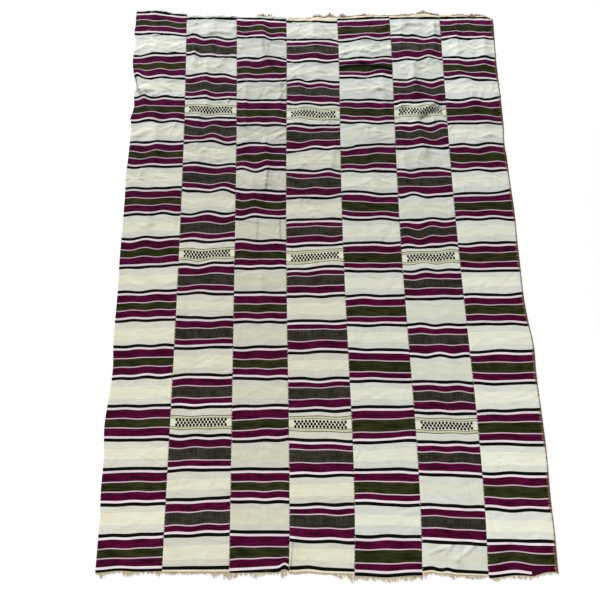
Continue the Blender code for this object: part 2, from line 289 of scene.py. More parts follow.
# Where an outer edge leaves its even curve, in mm to the right
EdgeBend = namedtuple("EdgeBend", "strip y half_length shift")
EDGE_BENDS_MM = (
    EdgeBend(1, 948, 22, -6),
    EdgeBend(1, 812, 60, -9),
    EdgeBend(1, 698, 34, 10),
    EdgeBend(1, 616, 30, 6),
    EdgeBend(1, 557, 18, -5),
    EdgeBend(1, 320, 60, -4),
    EdgeBend(1, -150, 110, 3),
    EdgeBend(1, -390, 75, 7),
    EdgeBend(1, -580, 70, -7),
    EdgeBend(1, -760, 60, -3),
    EdgeBend(7, 0, 3000, -4),
    EdgeBend(7, 800, 130, -4),
    EdgeBend(7, 440, 45, -4),
    EdgeBend(7, 170, 90, 4),
    EdgeBend(7, -150, 90, -4),
    EdgeBend(7, -330, 65, 6),
    EdgeBend(7, -800, 90, -4),
)
# The last strip's outer foot corner: its end is drawn in, and its last picks are gone
DRAWN_IN_MM = 12.0
DRAWN_IN_FROM_U = 0.60
DRAWN_IN_FULL_U = 0.86
DRAWN_IN_REACH_MM = 42.0
FRAYED_FROM_U = 0.665
FRAYED_SLANT = 0.09
FRAYED_MM = 22.0
FRAYED_TONE = 0.75

# The cloth's grid, and the unevenness that no table holds
COLUMNS = 48
COLUMN_CROWDING = 0.42
ROW_MM = 4.7
WAVE_SEED = 7
CREASE_SEED = 23
TONE_SEED = 5
WAVES = 10
WAVE_SHARES = (0.6, 1.2)
WEFT_WAVE_LENGTHS_MM = (130.0, 460.0)
WEFT_WAVE_TURNS = (0.4, 2.6)
WAVE_END_FADE_MM = 60.0
Wave = namedtuple("Wave", "turns_across length_mm phase share")
CRUMPLE_FOOT = 0.30
CRUMPLE_FROM_Y_MM = -150.0
CRUMPLE_FULL_Y_MM = 650.0
# Share of the full weft wave along the blanket
WAVE_ALONG_MM = ((-1000, 0.5), (-600, 0.46), (-200, 0.62), (150, 0.95), (450, 1.35), (1000, 1.15))

# Finer creases than the solids hold; those listed come first, the rest from a seed.
# The last column is how much painted shade darkens the cloth along a crease.
HandCrease = namedtuple("HandCrease", "strip from_u from_y to_u to_y height half_width soil")
HAND_CREASES_MM = (
    HandCrease(1, 0.030, 738, 0.045, 702, -2.5, 6, 0.75),
    HandCrease(1, 0.045, 702, 0.170, 652, -3.0, 8, 0.55),
    HandCrease(1, 0.10, 715, 0.20, 680, 3.0, 14, 0.0),
    HandCrease(2, 0.18, 785, 0.41, 803, 3.0, 11, 0.0),
    HandCrease(2, 0.41, 803, 0.60, 766, 3.0, 11, 0.0),
    HandCrease(3, 0.53, 904, 0.55, 842, -2.8, 10, 0.3),
    HandCrease(3, 0.66, 792, 0.80, 764, -3.0, 12, 0.6),
    HandCrease(3, 0.60, 500, 0.58, 410, 3.0, 9, 0.1),
    HandCrease(3, 0.64, 330, 0.60, 257, -2.2, 5, 0.45),
    HandCrease(3, 0.56, 245, 0.57, 175, -2.4, 9, 0.15),
    HandCrease(3, 0.45, 140, 0.44, 64, -2.0, 5, 0.3),
    HandCrease(3, 0.88, 139, 0.89, 59, -2.0, 5, 0.35),
    HandCrease(3, 0.51, 30, 0.49, -15, -2.2, 8, 0.2),
    HandCrease(3, 0.60, -600, 0.52, -1005, -1.6, 7, 0.0),
    HandCrease(4, 0.05, -930, 0.03, -1010, -2.0, 6, 0.35),
    HandCrease(5, 0.13, 836, 0.50, 866, 3.0, 10, 0.0),
    HandCrease(5, 0.34, 840, 0.78, 894, 3.2, 11, 0.0),
    HandCrease(5, 0.60, 836, 0.88, 862, 2.6, 10, 0.0),
    HandCrease(5, 0.04, 772, 0.45, 784, -3.4, 17, 0.88),
    HandCrease(5, 0.45, 784, 0.97, 760, -3.4, 17, 0.92),
    HandCrease(6, 0.20, 966, 0.50, 985, 3.0, 11, 0.0),
    HandCrease(6, 0.50, 985, 0.80, 960, 2.6, 11, 0.0),
    HandCrease(6, 0.15, 768, 0.35, 790, 3.2, 11, 0.0),
    HandCrease(6, 0.35, 790, 0.55, 766, 3.2, 11, 0.0),
    HandCrease(6, 0.55, 766, 0.82, 790, 3.0, 11, 0.0),
    HandCrease(6, 0.42, 722, 0.52, 682, -2.4, 6, 0.5),
    HandCrease(6, 0.93, 606, 0.48, 537, -3.2, 8, 0.6),
    HandCrease(6, 0.90, 628, 0.46, 560, 3.0, 11, 0.0),
    HandCrease(6, 0.08, -965, 0.52, -935, 4.0, 10, 0.0),
    HandCrease(6, 0.30, -975, 0.62, -905, 3.4, 9, 0.0),
    HandCrease(6, 0.48, -990, 0.92, -925, 4.0, 11, 0.0),
    HandCrease(6, 0.56, -1000, 0.70, -900, -2.6, 9, 0.12),
    HandCrease(7, 0.05, 842, 0.35, 874, 3.0, 11, 0.0),
    HandCrease(7, 0.35, 874, 0.60, 848, 3.0, 11, 0.0),
    HandCrease(7, 0.60, 848, 0.82, 868, 2.6, 11, 0.0),
    HandCrease(7, 0.02, -985, 0.40, -955, 2.2, 10, 0.0),
    HandCrease(7, 0.10, -1000, 0.36, -930, -1.8, 8, 0.2),
    HandCrease(7, 0.55, -985, 0.95, -965, 2.4, 10, 0.0),
)
PAINTED_SHADE_NARROWING = 1.5
CREASES_PER_STRIP = 380
CREASE_PLACES_U = (0.03, 0.97)
CREASE_LENGTH_MM = (24.0, 100.0)
CREASE_HEIGHT_MM = (1.1, 4.0)
CREASE_HALF_WIDTH_MM = (5.5, 15.0)
CREASE_SLOPE_DEG = 27.0
LENGTHWISE_SHARE = 0.12
HEAD_CROWDING = 1.35
# The close-beaten dark bands lie flatter than the loose cream ground
DARK_STIFFNESS = 0.42
STIFFNESS_BLEND_MM = 12.0
EDGE_DROP_MM = 0.8
EDGE_ROUND_MM = 1.6
LEAST_TOP_MM = 0.9
Crease = namedtuple("Crease", "x y run_x run_y height half_width")
Band = namedtuple("Band", "lower yarn tone")

# Inlaid dots: pattern wefts that float over a few warps
DOT_HEIGHT_MM = 1.2
DOT_SINK_MM = 0.35
DOT_PITCH_MM = 11.4
DOTS_PER_ROW = (15, 14, 15)
DOT_ROUND_STEPS = 8
DOT_LEVELS = 3
DOT_SEED = 3
DOT_DRIFT_U = 0.002
DOT_DRIFT_MM = 0.4
DOT_FULLNESS = 0.5
DOT_ROUNDNESS = 0.7

# Fringe yarns: two plies each, several to a lock
PLY_PITCH_MM = 6.5
YARN_STEPS = 8
YARN_SIDES = 4
YARN_ROOT_MM = 4.0
YARN_SEED = 61
YARNS_PER_LOCK = 8
YARN_SPREAD_MM = 13.0
YARN_GATHER = 0.45
YARN_DRIFT_MM = 4.5
# Share of a foot fringe's even length that curls back under the cloth, which sets off the tufts
BASE_HELD_IN = 0.4
TUFT_PULL = 1.5
YARN_TONES = (0.52, 1.28)
# Painted shade, with some soil, makes the yarns darker where they leave the cloth
YARN_ROOT_TONE = 0.8

# Sewing: slanted overcast stitches over each seam, and closer brown ones over the outer selvedge
STITCH_HALF_WIDTH_MM = 2.6
STITCH_SLANT_MM = 3.0
STITCH_HEIGHT_MM = 0.45
STITCH_RADIUS_MM = 0.4
STITCH_STEPS = 5
STITCH_SIDES = 4
STITCH_SEED = 83
EDGING_PITCH_MM = 3.6
EDGING_RADIUS_MM = 0.9
EDGING_IN_CREAM_MM = 3.4
EDGING_IN_DARK_MM = 8.0
# Down from the cloth's face, over its edge and under it, as shares of the reach in, mm out and mm up
EDGING_PROFILE = ((1.0, 0.0, 0.1), (0.6, 0.0, 0.6), (0.2, 0.0, 0.7), (0.0, 0.7, 0.1), (0.0, 0.9, -1.0))
HEADING_FROM_STRIP = 4
HEADING_STEPS = 60
HEADING_RADIUS_MM = 0.8


def sizes():
    """The sizes that the panel shows."""
    return bpy.context.scene.blanket_sizes


def smooth_step(value):
    """Rises from 0 to 1 with level ends."""
    share = np.clip(value, 0.0, 1.0)
    return share * share * (3.0 - 2.0 * share)


def seam_x(seam, y):
    """Place across of a seam, in mm: one smooth curve through its stations, straight past them."""
    return np.polyval(SEAM_CURVES[seam], np.clip(y / STATIONS_MM[0], -1.0, 1.0))


def place_across(strip, u, y):
    """Turns a place u across a strip into mm."""
    left = seam_x(strip - 1, y)
    return left + (seam_x(strip, y) - left) * u


def end_y(strip, end, u):
    """Place along, in mm, of a strip's end: a straight cut, worn round at one outer corner."""
    row = STRIP_ENDS_MM[strip - 1]
    if end == "foot":
        return row.foot_left + (row.foot_right - row.foot_left) * u
    worn = WORN_CORNER_MM * smooth_step((u - WORN_CORNER_FROM_U) / (1.0 - WORN_CORNER_FROM_U))
    return row.head_left + (row.head_right - row.head_left) * u - worn * (strip == STRIPS)


def end_wefts(strip):
    """The first and the last weft of a strip, in mm: the middles of its ends."""
    row = STRIP_ENDS_MM[strip - 1]
    return 0.5 * (row.head_left + row.head_right), 0.5 * (row.foot_left + row.foot_right)


def line_distance(row, x, y):
    """How far points lie from the line of a fold or a crease, in mm."""
    start = np.array((place_across(row.strip, row.from_u, row.from_y), row.from_y))
    run = np.array((place_across(row.strip, row.to_u, row.to_y), row.to_y)) - start
    along = np.clip(((x - start[0]) * run[0] + (y - start[1]) * run[1]) / (run @ run), 0.0, 1.0)
    return np.hypot(x - start[0] - run[0] * along, y - start[1] - run[1] * along)


def ridge(fold, x, y):
    """Height of one fold: highest on its line, and down to nothing at FOLD_REACH half widths."""
    rounded = np.hypot(line_distance(fold, x, y) / fold.half_width, FOLD_ROUNDING) - FOLD_ROUNDING
    return fold.height * np.clip(1.0 - rounded / FOLD_REACH, 0.0, 1.0) ** 3


def relief(strip, u, y):
    """Height of the cloth's underside, in mm: its folds and puff, held down at seams and ends."""
    x = place_across(strip, u, y)
    rise = (y - PUFF_FROM_Y_MM) / (PUFF_FULL_Y_MM - PUFF_FROM_Y_MM)
    height = PUFF_HEIGHT_MM * smooth_step(rise) * np.sin(np.pi * u) ** 2
    for fold in FOLDS_MM:
        if fold.strip == strip:
            height = height + ridge(fold, x, y)
    free = smooth_step(np.minimum(u, 1.0 - u) / SEAM_REACH)
    height = height * (SEAM_HOLD + (1.0 - SEAM_HOLD) * free)
    height = height * smooth_step((y - end_y(strip, "foot", u)) / END_REACH_MM)
    if any(fringe.end == "head" and fringe.strip == strip for fringe in FRINGES_MM):
        height = height * smooth_step((end_y(strip, "head", u) - y) / END_REACH_MM)
    return height


def crumple(y):
    """Share of the full crumpling at a place along: little at the smooth foot, 1 at the head."""
    rise = smooth_step((y - CRUMPLE_FROM_Y_MM) / (CRUMPLE_FULL_Y_MM - CRUMPLE_FROM_Y_MM))
    return CRUMPLE_FOOT + (1.0 - CRUMPLE_FOOT) * rise


def true_place(read):
    """Place along, in mm, of a line that was read at one: raised cloth looks shifted from the eye.

    The shift is the cloth's height there times its distance from under the eye, over the eye's
    height, and the cloth lies a little higher towards its crumpled head.
    """
    rise = smooth_step((read - PUFF_FROM_Y_MM) / (PUFF_FULL_Y_MM - PUFF_FROM_Y_MM))
    return read - (LYING_MM + LIFTED_MM * rise) * (read - EYE_PLACE_MM) / EYE_HEIGHT_MM


def dark_blocks(strip):
    """The upper and lower black line of each dark block, in mm, from the head down."""
    plan = STRIP_PLANS_MM[strip - 1]
    blocks = []
    for block, (late, longer) in enumerate(zip(plan.late, plan.longer)):
        top = plan.first_top - plan.repeat * block + late
        blocks.append((true_place(top), true_place(top - DARK_BLOCK_MM - longer)))
    return blocks


def painted_light_along(y):
    """How light the yarns are painted at a place along: painted shade, darkest between the middle and the
    head.
    """
    return np.interp(y, *zip(*PAINTED_LIGHT_ALONG_MM))


def dark_bands(strip, block, top, foot, dice):
    """The bands of one dark block, from its upper black line to its lower one."""
    middle = "olive" if strip % 2 else "charcoal"
    share = WIDE_BANDS[strip - 1]
    if (strip, block) == SHORT_BLOCK:
        wide = [("purple", SHORT_SHARES[0]), (middle, SHORT_SHARES[1])]
    else:
        wide = [("purple", share.upper_purple), (middle, share.middle), ("purple", share.lower_purple)]
    lines = 2.0 * WHITE_LINE_MM + (len(wide) - 1) * PALE_LINE_MM + BLACK_LINE_MM
    unit = (top - foot - lines) / sum(width for _, width in wide)
    widths = [("black", BLACK_LINE_MM), ("white", WHITE_LINE_MM)]
    for yarn, width in wide:
        widths.extend(((yarn, width * unit), ("pale pink", PALE_LINE_MM)))
    widths[-1] = ("white", WHITE_LINE_MM)
    widths.append(("black", BLACK_LINE_MM))
    bands = []
    # Painted shade along the blanket, stronger on the dark bands
    light = painted_light_along(0.5 * (top + foot)) ** DARK_PAINTED_SHADE_POWER
    place = top + 0.5 * BLACK_LINE_MM
    for yarn, width in widths:
        place -= width
        bands.append(Band(place, yarn, light * dice.uniform(*DARK_SPREAD)))
    return bands


def creams(strip):
    """The yarns of a strip's cream ground: the cool one of its sides and the warm one of its middle."""
    return ("chalk cream", "pale cream") if strip >= PALE_FROM_STRIP else ("cool cream", "warm cream")


def cream_bands(strip, top, foot, dice):
    """A plain cream block: cool, warm and cool ground, none of it quite even."""
    tone = CREAM_TONES[strip - 1]
    side = (top - foot) * CREAM_SIDE_SHARE
    # Painted shade along the blanket
    light = painted_light_along(0.5 * (top + foot))
    sides, middle = light * tone.sides, light * tone.middle
    cool, warm = creams(strip)
    return [
        Band(top - side * dice.uniform(*SIDE_SPREAD), cool, sides * dice.uniform(*CREAM_SPREAD)),
        Band(foot + side * dice.uniform(*SIDE_SPREAD), warm, middle * dice.uniform(*CREAM_SPREAD)),
        Band(foot, cool, sides * dice.uniform(*CREAM_SPREAD)),
    ]


def inlaid_bands(strip, top, foot):
    """A cream block with an inlay: beige bands between olive lines, above and below the dots."""
    inlay = INLAYS_MM[strip]
    tone = CREAM_TONES[strip - 1]
    line = top + 0.5 * BLACK_LINE_MM
    outer = 0.5 * OUTER_OLIVE_LINE_MM
    inner = 0.5 * INNER_OLIVE_LINE_MM
    cool, warm = creams(strip)
    return [
        Band(line - inlay.outer_top + outer, cool, tone.sides),
        Band(line - inlay.outer_top - outer, "thin olive", 1.0),
        Band(line - inlay.inner_top + inner, "beige", 1.0),
        Band(line - inlay.inner_top - inner, "thin olive", 1.1),
        Band(line - inlay.inner_foot + inner, warm, tone.middle),
        Band(line - inlay.inner_foot - inner, "thin olive", 1.1),
        Band(line - inlay.outer_foot + outer, "beige", 1.0),
        Band(line - inlay.outer_foot - outer, "thin olive", 1.0),
        Band(foot, cool, tone.sides),
    ]


def ground(strip, block, top, foot, dice):
    """One cream block, inlaid where the strip's plan has an inlay there."""
    if strip in INLAYS_MM and block in INLAID_BLOCKS:
        return inlaid_bands(strip, top, foot)
    return cream_bands(strip, top, foot, dice)


def weft_bands(strip):
    """Every band of a strip from its head to its foot, each with the place where it stops."""
    dice = random.Random(TONE_SEED + strip)
    half = 0.5 * BLACK_LINE_MM
    blocks = dark_blocks(strip)
    cut_off = strip in EDGE_LINES_MM
    head = EDGE_LINES_MM[strip].head if cut_off else blocks[0][0]
    hem = "cool cream" if strip < HEADING_FROM_STRIP else "hem cream"
    bands = [Band(head + half, hem, 1.0)]
    if cut_off:
        bands.append(Band(head - half, "black", 1.0))
    for block, (top, foot) in enumerate(blocks):
        if cut_off:
            bands.extend(ground(strip, block, bands[-1].lower, top + half, dice))
        bands.extend(dark_bands(strip, block, top, foot, dice))
        if not cut_off and block + 1 < len(blocks):
            bands.extend(ground(strip, block, bands[-1].lower, blocks[block + 1][0] + half, dice))
    if cut_off:
        line = EDGE_LINES_MM[strip].foot
        bands.extend(ground(strip, len(blocks), bands[-1].lower, line + half, dice))
        bands.append(Band(line - half, "black", 1.0))
    bands.append(Band(end_wefts(strip)[1], "hem cream", 1.0))
    return bands


def slant(strip, weft):
    """How far a weft rises from left to right, in mm: straight between the lines of the plan."""
    plan = STRIP_PLANS_MM[strip - 1]
    ends = STRIP_ENDS_MM[strip - 1]
    head, foot = end_wefts(strip)
    places = [(head, ends.head_right - ends.head_left), (foot, ends.foot_right - ends.foot_left)]
    for block, (top, lower) in enumerate(dark_blocks(strip)):
        places.append((top, plan.upper_slant[block]))
        places.append((lower, plan.lower_slant[block]))
    if strip in EDGE_LINES_MM:
        lines = EDGE_LINES_MM[strip]
        places.extend(((lines.head, lines.head_slant), (lines.foot, lines.foot_slant)))
    along, rise = zip(*sorted(places))
    return np.interp(weft, along, rise)


def weft_waves(strip):
    """The waves that push a strip's wefts up and down the cloth, from one seed."""
    dice = random.Random(WAVE_SEED + strip)
    return [
        Wave(
            dice.uniform(*WEFT_WAVE_TURNS),
            dice.uniform(*WEFT_WAVE_LENGTHS_MM) * dice.choice((-1.0, 1.0)),
            dice.uniform(0.0, 2.0 * math.pi),
            dice.uniform(*WAVE_SHARES) / math.sqrt(WAVES / 2.0),
        )
        for _ in range(WAVES)
    ]


def weft_place(strip, u, weft):
    """Where a weft lies, in mm across and along.

    It is slanted, then waved by a sum of sines of the place across and along, then moved by the
    listed pulls, each a bell in both directions. Near the head's worn corner and the foot's
    drawn-in one the wefts crowd together. The outer edges leave their curves by the bends.
    """
    wave = np.zeros_like(u + weft)
    for item in weft_waves(strip):
        turn = 2.0 * np.pi * (item.turns_across * u + weft / item.length_mm) + item.phase
        wave = wave + item.share * np.sin(turn)
    head, foot = end_wefts(strip)
    from_end = smooth_step(np.minimum(head - weft, weft - foot) / WAVE_END_FADE_MM)
    wave = wave * sizes().weft_wave / MM * np.interp(weft, *zip(*WAVE_ALONG_MM)) * from_end
    for pull in PULLS_MM:
        if pull.strip == strip:
            near = ((u - pull.u) / pull.half_u) ** 2 + ((weft - pull.weft) / pull.half_mm) ** 2
            wave = wave + pull.lift * np.exp(-near)
    y = weft + slant(strip, weft) * (u - 0.5) + wave
    if strip == STRIPS:
        ends = STRIP_ENDS_MM[strip - 1]
        straight = ends.head_left + (ends.head_right - ends.head_left) * u
        worn = straight - end_y(strip, "head", u)
        y = y - worn * smooth_step(1.0 - (straight - y) / WORN_REACH_MM)
        drawn = smooth_step((u - DRAWN_IN_FROM_U) / (DRAWN_IN_FULL_U - DRAWN_IN_FROM_U))
        y = y + DRAWN_IN_MM * drawn * smooth_step(1.0 - (weft - foot) / DRAWN_IN_REACH_MM)
    x = place_across(strip, u, y)
    outward = (1.0 - u) ** 2 if strip == 1 else u ** 2
    for bend in EDGE_BENDS_MM:
        if bend.strip == strip:
            x = x + bend.shift * outward * np.exp(-(((y - bend.y) / bend.half_length) ** 2))
    return x, y


def creases(strip):
    """Every fine crease of a strip, as a middle, half a run, a height and a half width, in mm."""
    made = []
    for row in HAND_CREASES_MM:
        if row.strip == strip:
            start = np.array((place_across(strip, row.from_u, row.from_y), row.from_y))
            end = np.array((place_across(strip, row.to_u, row.to_y), row.to_y))
            middle, run = 0.5 * (start + end), 0.5 * (end - start)
            made.append(Crease(*middle, *run, row.height, row.half_width))
    dice = random.Random(CREASE_SEED + strip)
    head, foot = end_wefts(strip)
    for _ in range(CREASES_PER_STRIP):
        y = head - (head - foot) * dice.random() ** HEAD_CROWDING
        x = place_across(strip, dice.uniform(*CREASE_PLACES_U), y)
        angle = math.radians(dice.gauss(0.0, CREASE_SLOPE_DEG))
        if dice.random() < LENGTHWISE_SHARE:
            angle += 0.5 * math.pi
        reach = 0.5 * dice.uniform(*CREASE_LENGTH_MM)
        height = dice.uniform(*CREASE_HEIGHT_MM) * dice.choice((1.0, 1.0, -1.0))
        height *= crumple(y) * sizes().crease_depth
        run = (reach * math.cos(angle), reach * math.sin(angle))
        made.append(Crease(x, y, *run, height, dice.uniform(*CREASE_HALF_WIDTH_MM)))
    return made


def looseness(strip, weft):
    """Share of the fine creases that a weft takes: all of it in cream, less in a dark block."""
    stiff = np.zeros_like(weft)
    for top, foot in dark_blocks(strip):
        inside = np.minimum(top - weft, weft - foot) / STIFFNESS_BLEND_MM
        stiff = np.maximum(stiff, smooth_step(0.5 + 0.5 * inside))
    return 1.0 - (1.0 - DARK_STIFFNESS) * stiff


def fine_creases(strip, x, y):
    """Height of the fine creases: each a cusp on its line that fades out at its sides and ends."""
    height = np.zeros_like(x)
    for crease in creases(strip):
        length = math.hypot(crease.run_x, crease.run_y)
        near = np.hypot(x - crease.x, y - crease.y) < length + crease.half_width
        if not near.any():
            continue
        off_x, off_y = x[near] - crease.x, y[near] - crease.y
        along = (off_x * crease.run_x + off_y * crease.run_y) / length
        aside = np.abs(off_x * crease.run_y - off_y * crease.run_x) / length
        fade = np.clip(1.0 - (along / (length + 0.5 * crease.half_width)) ** 2, 0.0, 1.0)
        height[near] += crease.height * fade * np.clip(1.0 - aside / crease.half_width, 0.0, 1.0) ** 2
    return height


def painted_crease_shade(strip, x, y):
    """How light the cloth is painted at a place: darker along the listed creases, as painted shade."""
    light = np.ones_like(x)
    for row in HAND_CREASES_MM:
        if row.strip == strip and row.soil:
            aside = PAINTED_SHADE_NARROWING * line_distance(row, x, y) / row.half_width
            light = light * (1.0 - row.soil * np.exp(-(aside ** 2)))
    return light


def cloth_top(strip, u, weft):
    """The cloth's upper face, in mm: relief, fine creases and thickness, rounded off at its sides."""
    x, y = weft_place(strip, u, weft)
    height = relief(strip, u, y) + fine_creases(strip, x, y) * looseness(strip, weft)
    height = np.maximum(height + sizes().thickness / MM, LEAST_TOP_MM)
    aside = np.minimum(u, 1.0 - u) * STRIP_WIDTH_MM
    height = height - EDGE_DROP_MM * np.exp(-((aside / EDGE_ROUND_MM) ** 2))
    return x + 0.5 * GAP_MM * (1.0 - 2.0 * u), y, height


def placed(x, y, z):
    """Millimetres of the cloth's own frame as points in metres, with the outline's middle at 0."""
    shifted = (x - OUTLINE_MIDDLE_MM[0], y - OUTLINE_MIDDLE_MM[1], z)
    return np.stack(np.broadcast_arrays(*shifted), axis=-1) * MM


def weft_rows(strip):
    """Grid rows down a strip, at least one per band, and each row's yarn and tone."""
    place, end = end_wefts(strip)
    edges, yarns, tones = [place], [], []
    for band in weft_bands(strip):
        lower = max(band.lower, end)
        if place - lower < 1e-6:
            continue
        count = math.ceil((place - lower) / ROW_MM)
        edges.extend(np.linspace(place, lower, count + 1)[1:])
        yarns.extend([band.yarn] * count)
        tones.extend([band.tone] * count)
        place = lower
    return np.array(edges), yarns, np.array(tones)


def grid_faces(rows, columns, start=0):
    """Quads of a grid of points, row after row, facing up where rows run down and columns right."""
    corner = start + np.arange(rows - 1)[:, None] * columns + np.arange(columns - 1)[None, :]
    quads = np.stack((corner, corner + columns, corner + columns + 1, corner + 1), axis=-1)
    return quads.reshape(-1, 4)


def new_piece(name, points, faces):
    """Makes an object of points in metres and faces, riding on the body."""
    mesh = bpy.data.meshes.new(name)
    mesh.from_pydata(points.reshape(-1, 3).tolist(), [], faces)
    mesh.polygons.foreach_set("use_smooth", np.ones(len(mesh.polygons), dtype=bool))
    mesh.update()
    piece = bpy.data.objects.new(name, mesh)
    bpy.context.scene.collection.objects.link(piece)
    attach(piece, BODY)
    return piece


def paint(piece, materials, indices, tones):
    """Gives each face its material and its tone."""
    mesh = piece.data
    for material in materials:
        mesh.materials.append(material)
    mesh.polygons.foreach_set("material_index", np.asarray(indices, dtype=np.int32))
    tone = mesh.attributes.new("tone", "FLOAT", "FACE")
    tone.data.foreach_set("value", np.asarray(tones, dtype=np.float32))


def lay_weave(piece, across, along):
    """Writes the weave's own coordinates, in metres across and along, as a UV map."""
    mesh = piece.data
    layer = mesh.uv_layers.new(name="weave")
    corners = np.empty(len(mesh.loops), dtype=np.int32)
    mesh.loops.foreach_get("vertex_index", corners)
    layer.data.foreach_set("uv", np.column_stack((across, along))[corners].astype(np.float32).ravel())


def face_middles(grid):
    """A value at the middle of each face of a grid."""
    return 0.25 * (grid[:-1, :-1] + grid[:-1, 1:] + grid[1:, :-1] + grid[1:, 1:])


def woven_strip(strip, yarns):
    """One strip as a closed thin sheet whose rows of faces follow the wefts, band by band.

    The upper face is cloth_top over the place across and the weft. The lower face is the same a
    thickness down, but never under the floor, and a rim of quads joins the two all round.
    """
    rows, names, tones = weft_rows(strip)
    even = np.linspace(0.0, 1.0, COLUMNS + 1)
    across = even - COLUMN_CROWDING * np.sin(2.0 * np.pi * even) / (2.0 * np.pi)
    u, weft = np.meshgrid(across, rows)
    x, y, top = cloth_top(strip, u, weft)
    under = np.maximum(top - sizes().thickness / MM, 0.0)
    points = np.stack((placed(x, y, top), placed(x, y, under)))
    high, wide = u.shape
    count = high * wide
    left = np.arange(high) * wide
    right = left + wide - 1
    head = np.arange(wide)
    foot = head + (high - 1) * wide
    faces = np.concatenate((
        grid_faces(high, wide),
        grid_faces(high, wide, count)[:, ::-1],
        np.column_stack((left[:-1], left[:-1] + count, left[1:] + count, left[1:])),
        np.column_stack((right[:-1], right[1:], right[1:] + count, right[:-1] + count)),
        np.column_stack((head[:-1], head[1:], head[1:] + count, head[:-1] + count)),
        np.column_stack((foot[:-1], foot[:-1] + count, foot[1:] + count, foot[1:])),
    ))
    row = np.arange(high - 1)
    edge = np.zeros(wide - 1, dtype=int)
    grid_row = np.repeat(row, wide - 1)
    face_row = np.concatenate((grid_row, grid_row, row, row, edge, edge + high - 2))
    between = 0.5 * (across[:-1] + across[1:])
    grid_u = np.tile(between, high - 1)
    face_u = np.concatenate((grid_u, grid_u, np.zeros(high - 1), np.ones(high - 1), between, between))
    kinds = sorted(set(names))
    kind = np.array([kinds.index(name) for name in names])[face_row]
    tone = tones[face_row]
    if strip == STRIPS:
        over_end = (rows[face_row] - rows[-1]) / FRAYED_MM
        frayed = (over_end < 1.0) & (face_u > FRAYED_FROM_U - FRAYED_SLANT * (1.0 - over_end))
        kind[frayed] = kinds.index("purple")
        tone[frayed] = FRAYED_TONE
    # Painted shade along the listed creases darkens the upper faces
    tone[:grid_u.size] *= painted_crease_shade(strip, face_middles(x), face_middles(y)).ravel()
    piece = new_piece("woven_strip_%d" % strip, points, faces.tolist())
    paint(piece, [yarns[name] for name in kinds], kind, tone)
    lay_weave(piece, np.tile(u.ravel(), 2) * STRIP_WIDTH_MM * MM, np.tile(-weft.ravel(), 2) * MM)
    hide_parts("strip_%d" % strip)
    return piece


def dot_places(strip):
    """Where each dot's middle lies: the place across and the weft, row by row of each inlay."""
    dice = random.Random(DOT_SEED + strip)
    blocks = dark_blocks(strip)
    places = []
    for block in INLAID_BLOCKS:
        line = blocks[block - 1][1]
        for row, count in zip(INLAYS_MM[strip].rows, DOTS_PER_ROW):
            first = 0.5 - 0.5 * (count - 1) * DOT_PITCH_MM / STRIP_WIDTH_MM
            for dot in range(count):
                u = first + dot * DOT_PITCH_MM / STRIP_WIDTH_MM + dice.uniform(-DOT_DRIFT_U, DOT_DRIFT_U)
                places.append((u, line - row + dice.uniform(-DOT_DRIFT_MM, DOT_DRIFT_MM)))
    return np.array(places)


def inlay_dots(strip, material):
    """All the dots of a strip in one mesh: flattened, squared-off spheres that follow the cloth.

    Each is DOT_LEVELS rings between two poles. A ring's half widths are the dot's, times the cosine
    of its rise to the power DOT_FULLNESS, and the power DOT_ROUNDNESS squares off cosine and sine.
    """
    places = dot_places(strip)
    turn = 2.0 * np.pi * np.arange(DOT_ROUND_STEPS) / DOT_ROUND_STEPS
    rise = np.pi * (np.arange(1, DOT_LEVELS + 1) / (DOT_LEVELS + 1) - 0.5)[:, None]
    wide = np.cos(rise) ** DOT_FULLNESS
    ring = np.stack(np.broadcast_arrays(
        500.0 * sizes().dot_width * wide * np.sign(np.cos(turn)) * np.abs(np.cos(turn)) ** DOT_ROUNDNESS,
        500.0 * sizes().dot_length * wide * np.sign(np.sin(turn)) * np.abs(np.sin(turn)) ** DOT_ROUNDNESS,
        0.5 * DOT_HEIGHT_MM * np.sin(rise),
    ), axis=-1).reshape(-1, 3)
    pole = np.array([[0.0, 0.0, 0.5 * DOT_HEIGHT_MM]])
    shape = np.concatenate((-pole, ring, pole))
    step = np.arange(DOT_ROUND_STEPS)
    following = (step + 1) % DOT_ROUND_STEPS
    low = 1 + np.arange(DOT_LEVELS - 1)[:, None] * DOT_ROUND_STEPS
    high = low + DOT_ROUND_STEPS
    sides = np.stack((low + step, low + following, high + following, high + step), axis=-1).reshape(-1, 4)
    last = 1 + (DOT_LEVELS - 1) * DOT_ROUND_STEPS
    bottoms = np.column_stack((np.zeros_like(step), 1 + following, 1 + step))
    tops = np.column_stack((last + step, last + following, np.full_like(step, len(shape) - 1)))
    starts = np.arange(len(places))[:, None, None] * len(shape)
    faces = (starts + sides).reshape(-1, 4).tolist()
    faces += (starts + bottoms).reshape(-1, 3).tolist() + (starts + tops).reshape(-1, 3).tolist()
    u = places[:, :1] + shape[:, 0] / STRIP_WIDTH_MM
    x, y, top = cloth_top(strip, u, places[:, 1:] + shape[:, 1])
    points = np.stack((x, y, top + shape[:, 2] + 0.5 * DOT_HEIGHT_MM - DOT_SINK_MM), axis=-1)
    piece = new_piece("inlay_dots_%d" % strip, placed(*np.moveaxis(points, -1, 0)), faces)
    paint(piece, [material], np.zeros(len(faces)), np.ones(len(faces)))
    lay_weave(piece, points[..., 0].ravel() * MM, -points[..., 1].ravel() * MM)
    return piece


def path_frame(paths):
    """At each step of many paths: the level direction square to the path, and the one over both."""
    run = np.gradient(paths, axis=1)
    run /= np.linalg.norm(run, axis=-1, keepdims=True)
    sideways = np.stack((run[..., 1], -run[..., 0], np.zeros(run.shape[:-1])), axis=-1)
    sideways /= np.maximum(np.linalg.norm(sideways, axis=-1, keepdims=True), 1e-9)
    return sideways, np.cross(sideways, run)


def path_lengths(paths):
    """How far along its path each step lies."""
    steps = np.linalg.norm(np.diff(paths, axis=1), axis=-1)
    return np.concatenate((np.zeros((len(paths), 1)), np.cumsum(steps, axis=1)), axis=1)


